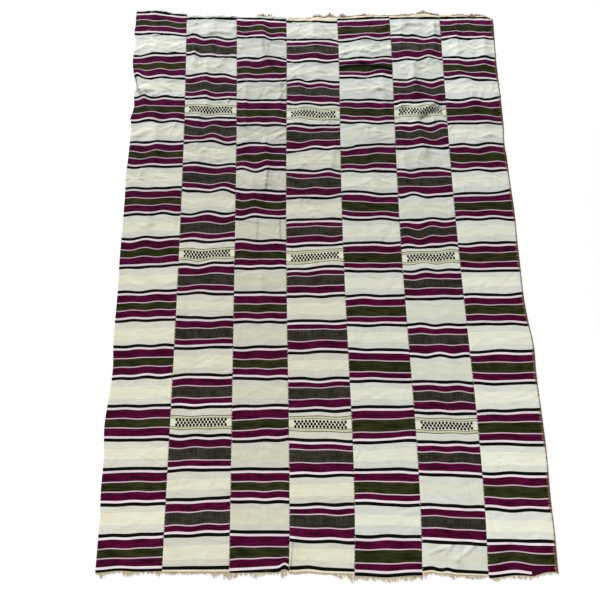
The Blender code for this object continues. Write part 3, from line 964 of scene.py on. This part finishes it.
def yarns_along(paths, radii, sides):
    """Tubes round many paths at once: a ring of points at each step, square to the path, and caps.

    paths holds yarns by steps by 3, in mm, and radii the yarn's radius at each. A ring's points are
    the path's, plus the radius times the cosine and sine of their turn on the path's two directions.
    """
    sideways, upwards = path_frame(paths)
    turn = 2.0 * np.pi * np.arange(sides) / sides
    around = sideways[..., None, :] * np.cos(turn)[:, None] + upwards[..., None, :] * np.sin(turn)[:, None]
    points = paths[..., None, :] + around * radii[..., None, None]
    yarns, steps = paths.shape[:2]
    ring = np.arange(sides)
    following = (ring + 1) % sides
    low = (np.arange(steps - 1) * sides)[:, None]
    quads = np.stack((low + ring, low + following, low + sides + following, low + sides + ring), axis=-1)
    starts = np.arange(yarns) * steps * sides
    body = (starts[:, None, None] + quads.reshape(1, -1, 4)).reshape(-1, 4)
    first = starts[:, None] + ring[::-1]
    last = starts[:, None] + (steps - 1) * sides + ring
    faces = body.tolist() + first.tolist() + last.tolist()
    each = np.arange(yarns)
    return points, faces, np.concatenate((np.repeat(each, (steps - 1) * sides), each, each))


def plied(paths, radius, pitch, phase):
    """Two plies wound round each path: each runs off it by its radius, turning once per pitch."""
    sideways, upwards = path_frame(paths)
    turn = (2.0 * np.pi * path_lengths(paths) / pitch + phase)[..., None]
    off = (sideways * np.cos(turn) + upwards * np.sin(turn)) * radius[..., None]
    return np.concatenate((paths + off, paths - off))


def yarn_piece(name, paths, radii, sides, material, seed, tones, root_tone=1.0):
    """Tubes along paths as one piece, each with its own tone from root to tip and a weave map."""
    points, faces, owner = yarns_along(paths, radii, sides)
    piece = new_piece(name, placed(*np.moveaxis(points, -1, 0)), faces)
    own = np.random.default_rng(seed).uniform(*tones, len(paths))
    # Darker towards the root: painted shade, with some soil
    rising = np.linspace(root_tone, 1.0, paths.shape[1] - 1)
    ends = np.repeat((root_tone, 1.0), len(paths))
    rising = np.concatenate((np.tile(np.repeat(rising, sides), len(paths)), ends))
    paint(piece, [material], np.zeros(len(owner)), own[owner] * rising)
    turn = np.arange(sides) / sides * 2.0 * math.pi * radii.max()
    across = np.broadcast_to(turn, points.shape[:-1]).ravel()
    lay_weave(piece, across * MM, np.repeat(path_lengths(paths).ravel(), sides) * MM)
    return piece


def lock_rows(fringe):
    """Each lock's place across, length and lean, in mm, as on the solid it stands for."""
    seed = HEAD_FRINGE_SEED if fringe.end == "head" else FRINGE_SEED
    dice = random.Random(seed + fringe.strip)
    y = end_y(fringe.strip, fringe.end, 0.5)
    edge = place_across(fringe.strip, 1.0, y) - place_across(fringe.strip, 0.0, y)
    first = max(fringe.from_u, 0.5 * GAP_MM / edge)
    last = min(fringe.to_u, 1.0 - 0.5 * GAP_MM / edge)
    count = int((last - first) * edge / LOCK_PITCH_MM)
    rows = []
    for lock in reversed(range(count)):
        u = first + (last - first) * (lock + 0.5) / count
        length, lean = fringe.base_length, 0.0
        for tuft in fringe.tufts:
            off = (tuft.u - u) * edge
            length += tuft.length * math.exp(-((off / tuft.half_width) ** 2))
            lean += LOCK_GATHER * off * math.exp(-((off / (LEAN_REACH * tuft.half_width)) ** 2))
        length *= 1.0 + dice.uniform(-LOCK_LENGTH_SPREAD, LOCK_LENGTH_SPREAD)
        rows.append((u, length, lean))
    return rows


def fringe_paths(fringe, radius):
    """Middle lines of a fringe's yarns: out of the cloth, over its edge and down to the floor.

    Each runs from YARN_ROOT_MM inside the strip's end to near its lock's tip, drawing in to the
    lock's middle with the way out to the power 1.5 and leaning towards the nearest tuft. It drifts
    and bows sideways by seeded amounts, and comes down from inside the cloth to lie on the floor
    or on its neighbours.
    """
    outward = 1.0 if fringe.end == "head" else -1.0
    dice = random.Random(YARN_SEED + fringe.strip + (100 if fringe.end == "head" else 0))
    out = np.linspace(0.0, 1.0, YARN_STEPS)
    end = end_wefts(fringe.strip)[0 if fringe.end == "head" else 1]
    thick = sizes().thickness / MM
    held = BASE_HELD_IN * fringe.base_length * (fringe.end == "foot")
    paths = []
    for u, length, lean in lock_rows(fringe):
        middle, edge = weft_place(fringe.strip, np.array([u]), np.array([end]))
        for _ in range(YARNS_PER_LOCK):
            aside = dice.uniform(-0.5, 0.5) * YARN_SPREAD_MM
            reach = (length - held) * dice.uniform(0.45, 1.15)
            y = edge + outward * ((YARN_ROOT_MM + reach) * out - YARN_ROOT_MM)
            drift = dice.uniform(-1.0, 1.0) * YARN_DRIFT_MM + TUFT_PULL * lean
            bow = dice.uniform(-0.8, 0.8) * reach
            x = middle + aside * (1.0 - YARN_GATHER * out ** 1.5) + drift * out + bow * out * (1.0 - out)
            curl = 2.0 * np.pi * (out * dice.uniform(0.6, 1.8) + dice.random())
            x = x + dice.uniform(0.2, 1.0) * np.sin(curl)
            fall = smooth_step((out * (YARN_ROOT_MM + reach) - YARN_ROOT_MM) / 4.0)
            lie = (2.0 + dice.uniform(0.0, 3.0)) * radius
            paths.append(np.column_stack((x, y, 0.5 * thick * (1.0 - fall) + lie * fall)))
    return np.array(paths)


def yarn_fringe(fringe, material):
    """One fringe: several twisted yarns to a lock, thinning to their tips."""
    radius = 0.25 * sizes().fringe_yarn / MM
    paths = fringe_paths(fringe, radius)
    radii = np.broadcast_to(radius * np.linspace(1.0, 0.6, YARN_STEPS), paths.shape[:2])
    plies = plied(paths, radii, PLY_PITCH_MM, np.arange(len(paths))[:, None] * 1.7)
    plies[..., 2] = np.maximum(plies[..., 2], radius)
    name = "fringe_yarn_%s_%d" % (fringe.end, fringe.strip)
    both = np.concatenate((radii, radii))
    seed = YARN_SEED + fringe.strip
    piece = yarn_piece(name, plies, both, YARN_SIDES, material, seed, YARN_TONES, YARN_ROOT_TONE)
    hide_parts("fringe_%s_%d" % (fringe.end, fringe.strip))
    return piece


def seam_stitches(seam, material):
    """The thread over one seam: short arches from strip to strip, a little uneven.

    Each arch is a straight slanted run across the seam, raised by one minus its square.
    """
    pitch = sizes().stitch_pitch / MM
    head = min(end_y(seam, "head", 1.0), end_y(seam + 1, "head", 0.0)) - pitch
    foot = max(end_y(seam, "foot", 1.0), end_y(seam + 1, "foot", 0.0)) + pitch
    dice = np.random.default_rng(STITCH_SEED + seam)
    count = int((head - foot) / pitch)
    y = np.linspace(head, foot, count) + dice.uniform(-2.0, 2.0, count)
    over = np.linspace(-1.0, 1.0, STITCH_STEPS)
    half = STITCH_HALF_WIDTH_MM * dice.uniform(0.75, 1.2, count)[:, None]
    along = y[:, None] + 0.5 * STITCH_SLANT_MM * over + dice.uniform(-0.5, 0.5, (count, 1)) * over
    x = seam_x(seam, along) + half * over
    beside = np.clip(np.abs(half * over) / STRIP_WIDTH_MM, 0.0, 1.0)
    left = cloth_top(seam, 1.0 - beside, along)[2]
    right = cloth_top(seam + 1, beside, along)[2]
    z = np.where(over < 0.0, left, right)
    z = np.where(np.abs(over) < 1e-6, np.maximum(left, right), z)
    z = z + STITCH_HEIGHT_MM * (1.0 - over ** 2) - 0.2 * over ** 2
    paths = np.stack((x, along, z), axis=-1)
    radii = np.full(paths.shape[:2], STITCH_RADIUS_MM)
    name = "seam_stitches_%d" % seam
    return yarn_piece(name, paths, radii, STITCH_SIDES, material, STITCH_SEED + seam, (0.9, 1.1))


def selvedge_edging(material):
    """Brown overcast stitches over the last strip's outer edge, reaching further in on dark blocks.

    Each stitch follows EDGING_PROFILE from the cloth's face over its edge, slanted along it.
    """
    head, foot = end_wefts(STRIPS)
    dice = np.random.default_rng(STITCH_SEED)
    count = int((head - foot - WORN_CORNER_MM) / EDGING_PITCH_MM)
    weft = np.linspace(head - WORN_CORNER_MM, foot + 1.0, count) + dice.uniform(-1.2, 1.2, count)
    dark = (1.0 - looseness(STRIPS, weft)) / (1.0 - DARK_STIFFNESS)
    reach = EDGING_IN_CREAM_MM + (EDGING_IN_DARK_MM - EDGING_IN_CREAM_MM) * dark
    reach = reach * dice.uniform(0.6, 1.3, count)
    inward, out, up = np.array(EDGING_PROFILE).T
    x, y, _ = cloth_top(STRIPS, np.ones(count), weft)
    beside = reach[:, None] * inward
    top = cloth_top(STRIPS, 1.0 - beside / STRIP_WIDTH_MM, weft[:, None] + 0.0 * inward)[2]
    paths = np.stack((
        x[:, None] - beside + out,
        y[:, None] + STITCH_SLANT_MM * (inward - 0.5),
        np.maximum(top + up, EDGING_RADIUS_MM),
    ), axis=-1)
    radii = np.full(paths.shape[:2], EDGING_RADIUS_MM)
    return yarn_piece("selvedge_edging", paths, radii, STITCH_SIDES, material, YARN_SEED, (0.7, 1.5))


def heading_cord(material):
    """A two-ply cord twined along the head's end, from HEADING_FROM_STRIP to the last strip."""
    u = np.linspace(0.03, 0.97, HEADING_STEPS)
    runs = []
    for strip in range(HEADING_FROM_STRIP, STRIPS + 1):
        weft = np.full(HEADING_STEPS, end_wefts(strip)[0])
        runs.append(np.column_stack(cloth_top(strip, u, weft)))
    line = np.concatenate(runs)[None]
    line[..., 1] += 0.4
    line[..., 2] = np.maximum(line[..., 2] - 0.6, 2.0 * HEADING_RADIUS_MM)
    radii = np.full(line.shape[:2], HEADING_RADIUS_MM)
    plies = plied(line, radii, PLY_PITCH_MM * 1.6, 0.0)
    both = np.concatenate((radii, radii))
    return yarn_piece("heading_cord", plies, both, STITCH_SIDES, material, YARN_SEED, (0.85, 1.15))


def linear(hex_colour):
    """Turns an sRGB colour, written as six hex digits, to linear values with alpha."""
    parts = [int(hex_colour[place:place + 2], 16) / 255.0 for place in (0, 2, 4)]
    return tuple(p / 12.92 if p <= 0.04045 else ((p + 0.055) / 1.055) ** 2.4 for p in parts) + (1.0,)


def add(tree, kind, values=None, links=None, **settings):
    """Adds a node with its settings, input values and links into it."""
    node = tree.nodes.new(kind)
    for key, value in settings.items():
        setattr(node, key, value)
    for key, value in (values or {}).items():
        node.inputs[key].default_value = value
    for key, socket in (links or {}).items():
        tree.links.new(socket, node.inputs[key])
    return node


# A wave texture's stripes repeat every 2 pi / 20 over its scale
WAVE_UNIT = 2.0 * math.pi / 20.0
# Real wefts lie about 0.8 mm apart and warps 1.2 mm; both ribs are drawn twice as coarse to show
WEFT_RIB_MM = 1.7
WARP_RIB_MM = 2.3
# Size of an uneven patch across and along: dye streaks, slubs, clouds of soil and two-shade warps
STREAK_MM = (46.0, 6.0)
SLUB_MM = (13.0, 3.0)
CLOUD_MM = (62.0, 22.0)
WARP_SHADE_MM = (5.0, 42.0)
HEAD_PLACE_M = -0.95
MIDDLE_PLACE_M = 0.1
SPECULAR_LEVEL = 0.05
ROUGHNESS = 0.92

# The share of a yarn's dye left where it took badly, how strong that unevenness is, and how the light
# has shifted it at the head. Shares are linear red, green and blue.
NOT_FADED = (1.0, 1.0, 1.0)
Yarn = namedtuple("Yarn", "uneven strength faded pinstripes", defaults=(NOT_FADED, False))
YARNS = {
    "purple": Yarn((0.36, 0.42, 0.26), 1.0, (1.08, 2.2, 1.5)),
    "olive": Yarn((0.34, 0.34, 0.26), 1.0, (1.2, 1.1, 1.4)),
    "charcoal": Yarn((0.30, 0.28, 0.26), 0.7, (1.35, 1.45, 1.55), True),
    "black": Yarn((0.6, 0.6, 0.6), 0.6),
    "white": Yarn((0.88, 0.80, 0.84), 0.5),
    "pale pink": Yarn((0.80, 0.70, 0.75), 0.5),
    "warm cream": Yarn((0.95, 0.89, 0.81), 0.9, (0.98, 1.02, 1.16)),
    "cool cream": Yarn((0.94, 0.88, 0.84), 0.9, (0.98, 1.04, 1.13)),
    "pale cream": Yarn((0.95, 0.90, 0.84), 0.9, (0.97, 0.98, 1.04)),
    "chalk cream": Yarn((0.94, 0.90, 0.86), 0.9, (0.98, 1.01, 1.07)),
    "hem cream": Yarn((0.90, 0.84, 0.74), 0.9),
    "beige": Yarn((0.88, 0.88, 0.82), 0.8, (0.97, 1.02, 1.12)),
    "thin olive": Yarn((0.7, 0.7, 0.7), 0.6),
    "inlay": Yarn((0.5, 0.5, 0.5), 0.5),
    "foot warp": Yarn((0.62, 0.50, 0.36), 0.9),
    "head warp": Yarn((0.55, 0.48, 0.40), 0.9),
    "thread": Yarn((0.85, 0.82, 0.76), 0.6),
    "edging": Yarn((0.45, 0.32, 0.26), 1.0),
}


def cotton_yarn(kind):
    """Matt handspun cotton, beaten into wefts.

    Neighbouring wefts took the dye unevenly, which gives the eye long faint streaks across the
    strip, short slubs on them and soft clouds of wear. Ribs of weft over warp roughen the surface,
    and the light has bleached the creams cooler towards the head.
    """
    yarn = YARNS[kind]
    name = kind.replace(" ", "_")
    main = tuple(getattr(bpy.context.scene.blanket_dyes, name))
    material = bpy.data.materials.new("handspun_cotton_" + name)
    material.use_nodes = True
    tree = material.node_tree
    shader = tree.nodes["Principled BSDF"]
    weave = add(tree, "ShaderNodeUVMap", uv_map="weave").outputs["UV"]
    uneven = []
    for patch in (STREAK_MM, SLUB_MM, CLOUD_MM, WARP_SHADE_MM):
        scale = (1.0 / (patch[0] * MM), 1.0 / (patch[1] * MM), 1.0)
        stretched = add(tree, "ShaderNodeMapping", {"Scale": scale}, {"Vector": weave}).outputs[0]
        noise = add(tree, "ShaderNodeTexNoise", {"Scale": 1.0, "Detail": 2.5}, {"Vector": stretched})
        uneven.append(noise.outputs["Fac"])
    streaks, slubs, clouds, shades = uneven
    worn = add(tree, "ShaderNodeMath", {1: 0.5}, {0: slubs, 2: streaks}, operation="MULTIPLY_ADD")
    worn = add(tree, "ShaderNodeMath", {1: 0.9}, {0: clouds, 2: worn.outputs[0]}, operation="MULTIPLY_ADD")
    share = add(
        tree, "ShaderNodeMapRange", {"From Min": 1.0, "From Max": 1.42, "To Max": yarn.strength},
        {"Value": worn.outputs[0]},
    ).outputs[0]
    if yarn.pinstripes:
        # The charcoal shows warps of two shades, as fine uneven lengthwise lines
        lines = add(
            tree, "ShaderNodeMapRange", {"From Min": 0.36, "From Max": 0.64, "To Min": -0.2, "To Max": 0.42},
            {"Value": shades},
        )
        share = add(
            tree, "ShaderNodeMath", {}, {0: share, 1: lines.outputs[0]}, operation="ADD", use_clamp=True,
        ).outputs[0]
    colours = {6: main, 7: tuple(a * b for a, b in zip(main, yarn.uneven)) + (1.0,)}
    dyed = add(tree, "ShaderNodeMix", colours, {0: share}, data_type="RGBA").outputs[2]
    if yarn.faded != NOT_FADED:
        along = add(tree, "ShaderNodeSeparateXYZ", {}, {0: weave}).outputs["Y"]
        bleached = add(
            tree, "ShaderNodeMapRange", {"From Min": MIDDLE_PLACE_M, "From Max": HEAD_PLACE_M},
            {"Value": along},
        ).outputs[0]
        light = add(
            tree, "ShaderNodeMix", {6: (1.0, 1.0, 1.0, 1.0), 7: yarn.faded + (1.0,)}, {0: bleached},
            data_type="RGBA",
        ).outputs[2]
        dyed = add(
            tree, "ShaderNodeVectorMath", {}, {0: dyed, 1: light}, operation="MULTIPLY",
        ).outputs[0]
    tone = add(tree, "ShaderNodeAttribute", attribute_name="tone", attribute_type="GEOMETRY")
    toned = add(
        tree, "ShaderNodeVectorMath", {}, {0: dyed, "Scale": tone.outputs["Fac"]}, operation="SCALE",
    )
    wefts = add(
        tree, "ShaderNodeTexWave", {"Scale": WAVE_UNIT / (WEFT_RIB_MM * MM), "Distortion": 0.6},
        {"Vector": weave}, wave_type="BANDS", bands_direction="Y",
    )
    warps = add(
        tree, "ShaderNodeTexWave", {"Scale": WAVE_UNIT / (WARP_RIB_MM * MM)},
        {"Vector": weave}, wave_type="BANDS", bands_direction="X",
    )
    ribs = add(
        tree, "ShaderNodeMath", {1: 0.4}, {0: warps.outputs["Fac"], 2: wefts.outputs["Fac"]},
        operation="MULTIPLY_ADD",
    )
    thick = add(tree, "ShaderNodeMath", {1: 0.8}, {0: slubs, 2: ribs.outputs[0]}, operation="MULTIPLY_ADD")
    bump = add(
        tree, "ShaderNodeBump", {"Strength": 0.35, "Distance": 0.25 * MM}, {"Height": thick.outputs[0]},
    )
    tree.links.new(toned.outputs[0], shader.inputs["Base Color"])
    tree.links.new(bump.outputs[0], shader.inputs["Normal"])
    shader.inputs["Roughness"].default_value = ROUGHNESS
    shader.inputs["Specular IOR Level"].default_value = SPECULAR_LEVEL
    return material


# The camera stands over the foot half of the cloth and is tilted towards the head
CAMERA_PLACE_M = (-0.0786, -0.6864, 1.843)
CAMERA_TILT_DEG = 15.86
CAMERA_TURN_DEG = -0.676
CAMERA_LENS_MM = 33.6
SENSOR_MM = 36.0
Lamp = namedtuple("Lamp", "name place aim size watts colour")
LAMPS = (
    Lamp("soft_key", (-22.0, 40.0, 27.0), (0.0, 0.0, 0.0), 10.0, 33200.0, (0.991, 0.987, 1.0)),
    Lamp("foot_fill", (0.2, -2.9, 2.9), (0.0, -0.9, 0.0), 1.8, 36.0, (1.0, 0.99, 0.955)),
    Lamp("head_fill", (-0.6, 3.2, 2.6), (0.0, 0.9, 0.0), 1.8, 28.0, (0.96, 0.99, 1.0)),
)
SKY_STRENGTH = 0.22
SEEN_SKY_STRENGTH = 0.86
FLOOR_HALF_M = 9.0
FLOOR_STEPS = 12
FLOOR_DROP_MM = 0.2


def make_camera():
    """Looks down on the cloth from over its lower half, tilted towards the head."""
    data = bpy.data.cameras.new("camera")
    data.lens = CAMERA_LENS_MM
    data.sensor_width = SENSOR_MM
    camera = bpy.data.objects.new("camera", data)
    turn = Matrix.Rotation(math.radians(CAMERA_TURN_DEG), 4, "Z")
    tilt = Matrix.Rotation(math.radians(CAMERA_TILT_DEG), 4, "X")
    camera.matrix_world = Matrix.Translation(CAMERA_PLACE_M) @ turn @ tilt
    bpy.context.scene.collection.objects.link(camera)
    bpy.context.scene.camera = camera


def make_lamp(lamp):
    """A square area lamp that looks at its aim."""
    data = bpy.data.lights.new(lamp.name, "AREA")
    data.energy = lamp.watts
    data.size = lamp.size
    data.color = lamp.colour
    light = bpy.data.objects.new(lamp.name, data)
    light.location = lamp.place
    direction = np.array(lamp.aim) - np.array(lamp.place)
    flat = math.hypot(direction[0], direction[1])
    tip = math.atan2(flat, -direction[2])
    light.rotation_euler = (tip, 0.0, math.atan2(-direction[0], direction[1]))
    light.visible_camera = False
    bpy.context.scene.collection.objects.link(light)


def matt_floor():
    """White matt paper, rolled smooth: the faintest unevenness keeps it from looking like a void."""
    material = bpy.data.materials.new("matt_white_paper")
    material.use_nodes = True
    tree = material.node_tree
    shader = tree.nodes["Principled BSDF"]
    place = add(tree, "ShaderNodeTexCoord").outputs["Object"]
    clouds = add(tree, "ShaderNodeTexNoise", {"Scale": 1.5, "Detail": 2.0}, {"Vector": place})
    colours = {6: linear("FFFFFF"), 7: linear("FCFCFC")}
    colour = add(tree, "ShaderNodeMix", colours, {0: clouds.outputs["Fac"]}, data_type="RGBA")
    tree.links.new(colour.outputs[2], shader.inputs["Base Color"])
    shader.inputs["Roughness"].default_value = 0.85
    shader.inputs["Specular IOR Level"].default_value = 0.1
    return material


def make_floor():
    """A level square of floor under the cloth."""
    even = np.linspace(-1.0, 1.0, FLOOR_STEPS + 1) * FLOOR_HALF_M
    x, y = np.meshgrid(even, even[::-1])
    points = np.stack((x, y, np.full(x.shape, -FLOOR_DROP_MM * MM)), axis=-1)
    mesh = bpy.data.meshes.new("floor")
    mesh.from_pydata(points.reshape(-1, 3).tolist(), [], grid_faces(*x.shape).tolist())
    mesh.materials.append(matt_floor())
    floor = bpy.data.objects.new("floor", mesh)
    bpy.context.scene.collection.objects.link(floor)


def make_sky():
    """An even pale light from all round, seen as a paler backdrop than the light it gives."""
    world = bpy.data.worlds.new("studio")
    world.use_nodes = True
    tree = world.node_tree
    seen = add(tree, "ShaderNodeLightPath").outputs["Is Camera Ray"]
    strength = add(
        tree, "ShaderNodeMapRange", {"To Min": SKY_STRENGTH, "To Max": SEEN_SKY_STRENGTH}, {"Value": seen},
    )
    background = tree.nodes["Background"]
    background.inputs["Color"].default_value = (1.0, 1.0, 1.0, 1.0)
    tree.links.new(strength.outputs[0], background.inputs["Strength"])
    bpy.context.scene.world = world
    bpy.context.scene.view_settings.view_transform = "Standard"


def length(name, description, millimetres):
    """A length in the panel, given in millimetres."""
    return bpy.props.FloatProperty(
        name=name, description=description, default=millimetres * MM, min=0.0, precision=5,
        subtype="DISTANCE", unit="LENGTH",
    )


def dye(name, description, hex_colour):
    """A yarn's colour in the panel."""
    return bpy.props.FloatVectorProperty(
        name=name, description=description, default=linear(hex_colour), size=4, min=0.0, max=1.0,
        subtype="COLOR",
    )


class BlanketSizes(bpy.types.PropertyGroup):
    """Sizes of the cloth and its yarns."""

    thickness: length("Cloth thickness", "How thick the beaten cloth is", 2.0)
    weft_wave: length("Weft wave", "How far the wefts wave along the cloth at its head", 2.6)
    crease_depth: bpy.props.FloatProperty(
        name="Crease depth", description="How strong the fine creases are", default=1.0, min=0.0, max=1.5,
        subtype="FACTOR",
    )
    dot_width: length("Dot width", "Width of an inlaid dot, across the strip", 8.0)
    dot_length: length("Dot length", "Length of an inlaid dot, along the strip", 9.0)
    fringe_yarn: length("Fringe yarn", "Thickness of a two-ply warp yarn in the fringe", 1.9)
    stitch_pitch: length("Stitch pitch", "How far apart the stitches over a seam lie", 13.0)


class BlanketDyes(bpy.types.PropertyGroup):
    """Colours of the yarns."""

    purple: dye("Purple", "Wide bands of a dark block", "530833")
    olive: dye("Olive", "Middle band of a dark block in the odd strips", "33361B")
    charcoal: dye("Charcoal", "Middle band of a dark block in the even strips", "3B382F")
    black: dye("Black", "Lines that edge each block", "0B0C08")
    white: dye("White", "Lines beside the black ones", "E6DADF")
    pale_pink: dye("Pale pink", "Thin lines between the wide bands", "CDB2BE")
    warm_cream: dye("Warm cream", "Middle of a cream block", "DEDECA")
    cool_cream: dye("Cool cream", "Sides of a cream block", "CFD0C4")
    pale_cream: dye("Pale cream", "Middle of a cream block in the last three strips", "DFE2D3")
    chalk_cream: dye("Chalk cream", "Sides of a cream block in the last three strips", "D0D4CB")
    hem_cream: dye("Hem cream", "The last centimetre at each end", "E6E0CC")
    beige: dye("Beige", "Bands above and below the inlay", "C3C2A8")
    thin_olive: dye("Thin olive", "Lines that edge the inlay's bands", "5C593C")
    inlay: dye("Inlay", "Inlaid dots", "120E14")
    foot_warp: dye("Foot warp", "Warp ends at the foot", "F2E3C3")
    head_warp: dye("Head warp", "Warp ends and cord at the head", "AF8A6C")
    thread: dye("Thread", "Stitches over the seams", "D8D6C4")
    edging: dye("Edging", "Overcast stitches on the outer selvedge", "92704F")


class BLANKET_OT_strips(bpy.types.Operator):
    """Weaves the seven striped strips"""

    bl_idname = "blanket.strips"
    bl_label = "Weave the strips"

    def execute(self, context):
        wefts = (
            "purple", "olive", "charcoal", "black", "white", "pale pink", "beige", "thin olive",
            "warm cream", "cool cream", "pale cream", "chalk cream", "hem cream",
        )
        yarns = {kind: cotton_yarn(kind) for kind in wefts}
        for strip in range(1, STRIPS + 1):
            woven_strip(strip, yarns)
        return {"FINISHED"}


class BLANKET_OT_inlay(bpy.types.Operator):
    """Inlays the rows of dots in strips 2, 4 and 6"""

    bl_idname = "blanket.inlay"
    bl_label = "Inlay the dots"

    def execute(self, context):
        material = cotton_yarn("inlay")
        for strip in INLAYS_MM:
            inlay_dots(strip, material)
        return {"FINISHED"}


class BLANKET_OT_foot_fringes(bpy.types.Operator):
    """Twists the warp ends at the foot"""

    bl_idname = "blanket.foot_fringes"
    bl_label = "Twist the foot fringes"

    def execute(self, context):
        material = cotton_yarn("foot warp")
        for fringe in FRINGES_MM:
            if fringe.end == "foot":
                yarn_fringe(fringe, material)
        return {"FINISHED"}


class BLANKET_OT_head_fringes(bpy.types.Operator):
    """Twists the warp ends at the head and twines the cord along them"""

    bl_idname = "blanket.head_fringes"
    bl_label = "Twist the head fringes"

    def execute(self, context):
        material = cotton_yarn("head warp")
        for fringe in FRINGES_MM:
            if fringe.end == "head":
                yarn_fringe(fringe, material)
        heading_cord(material)
        return {"FINISHED"}


class BLANKET_OT_seams(bpy.types.Operator):
    """Sews the strips together, edge to edge"""

    bl_idname = "blanket.seams"
    bl_label = "Sew the seams"

    def execute(self, context):
        material = cotton_yarn("thread")
        for seam in range(1, STRIPS):
            seam_stitches(seam, material)
        return {"FINISHED"}


class BLANKET_OT_edging(bpy.types.Operator):
    """Overcasts the last strip's outer selvedge"""

    bl_idname = "blanket.edging"
    bl_label = "Overcast the selvedge"

    def execute(self, context):
        selvedge_edging(cotton_yarn("edging"))
        return {"FINISHED"}


class BLANKET_OT_declare(bpy.types.Operator):
    """Gathers the names of the pieces on each strip, and does nothing more with them"""

    bl_idname = "blanket.declare"
    bl_label = "Declare the cloth"

    def execute(self, context):
        for strip in range(1, STRIPS + 1):
            names = ["fringe_yarn_foot_%d", "fringe_yarn_head_%d", "inlay_dots_%d", "seam_stitches_%d"]
            names = [name % strip for name in names]
            if strip == STRIPS:
                names += ["selvedge_edging", "heading_cord"]
        return {"FINISHED"}


class BLANKET_OT_stage(bpy.types.Operator):
    """Sets up the floor, the soft light and the camera"""

    bl_idname = "blanket.stage"
    bl_label = "Set the stage"

    def execute(self, context):
        make_floor()
        make_sky()
        for lamp in LAMPS:
            make_lamp(lamp)
        make_camera()
        return {"FINISHED"}


class BLANKET_PT_panel(bpy.types.Panel):
    """Lists the sizes, the dyes and the steps in order"""

    bl_idname = "BLANKET_PT_panel"
    bl_label = "Blanket"
    bl_space_type = "VIEW_3D"
    bl_region_type = "UI"
    bl_category = "Blanket"

    def draw(self, context):
        for group in (context.scene.blanket_sizes, context.scene.blanket_dyes):
            for name in type(group).__annotations__:
                self.layout.prop(group, name)
        for step in STEPS:
            self.layout.operator(step.bl_idname)


STEPS = (
    BLANKET_OT_strips, BLANKET_OT_inlay, BLANKET_OT_foot_fringes, BLANKET_OT_head_fringes,
    BLANKET_OT_seams, BLANKET_OT_edging, BLANKET_OT_declare, BLANKET_OT_stage,
)
CLASSES = (BlanketSizes, BlanketDyes) + STEPS + (BLANKET_PT_panel,)


def register():
    """Registers the classes and hangs the settings on the scene."""
    for item in CLASSES:
        bpy.utils.register_class(item)
    bpy.types.Scene.blanket_sizes = bpy.props.PointerProperty(type=BlanketSizes)
    bpy.types.Scene.blanket_dyes = bpy.props.PointerProperty(type=BlanketDyes)


def unregister():
    """Takes the settings and the classes away again."""
    del bpy.types.Scene.blanket_dyes
    del bpy.types.Scene.blanket_sizes
    for item in reversed(CLASSES):
        bpy.utils.unregister_class(item)


def main():
    """Runs every step in order."""
    register()
    bpy.ops.blanket.strips()
    bpy.ops.blanket.inlay()
    bpy.ops.blanket.foot_fringes()
    bpy.ops.blanket.head_fringes()
    bpy.ops.blanket.seams()
    bpy.ops.blanket.edging()
    bpy.ops.blanket.declare()
    bpy.ops.blanket.stage()
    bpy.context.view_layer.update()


if __name__ == "__main__":
    main()
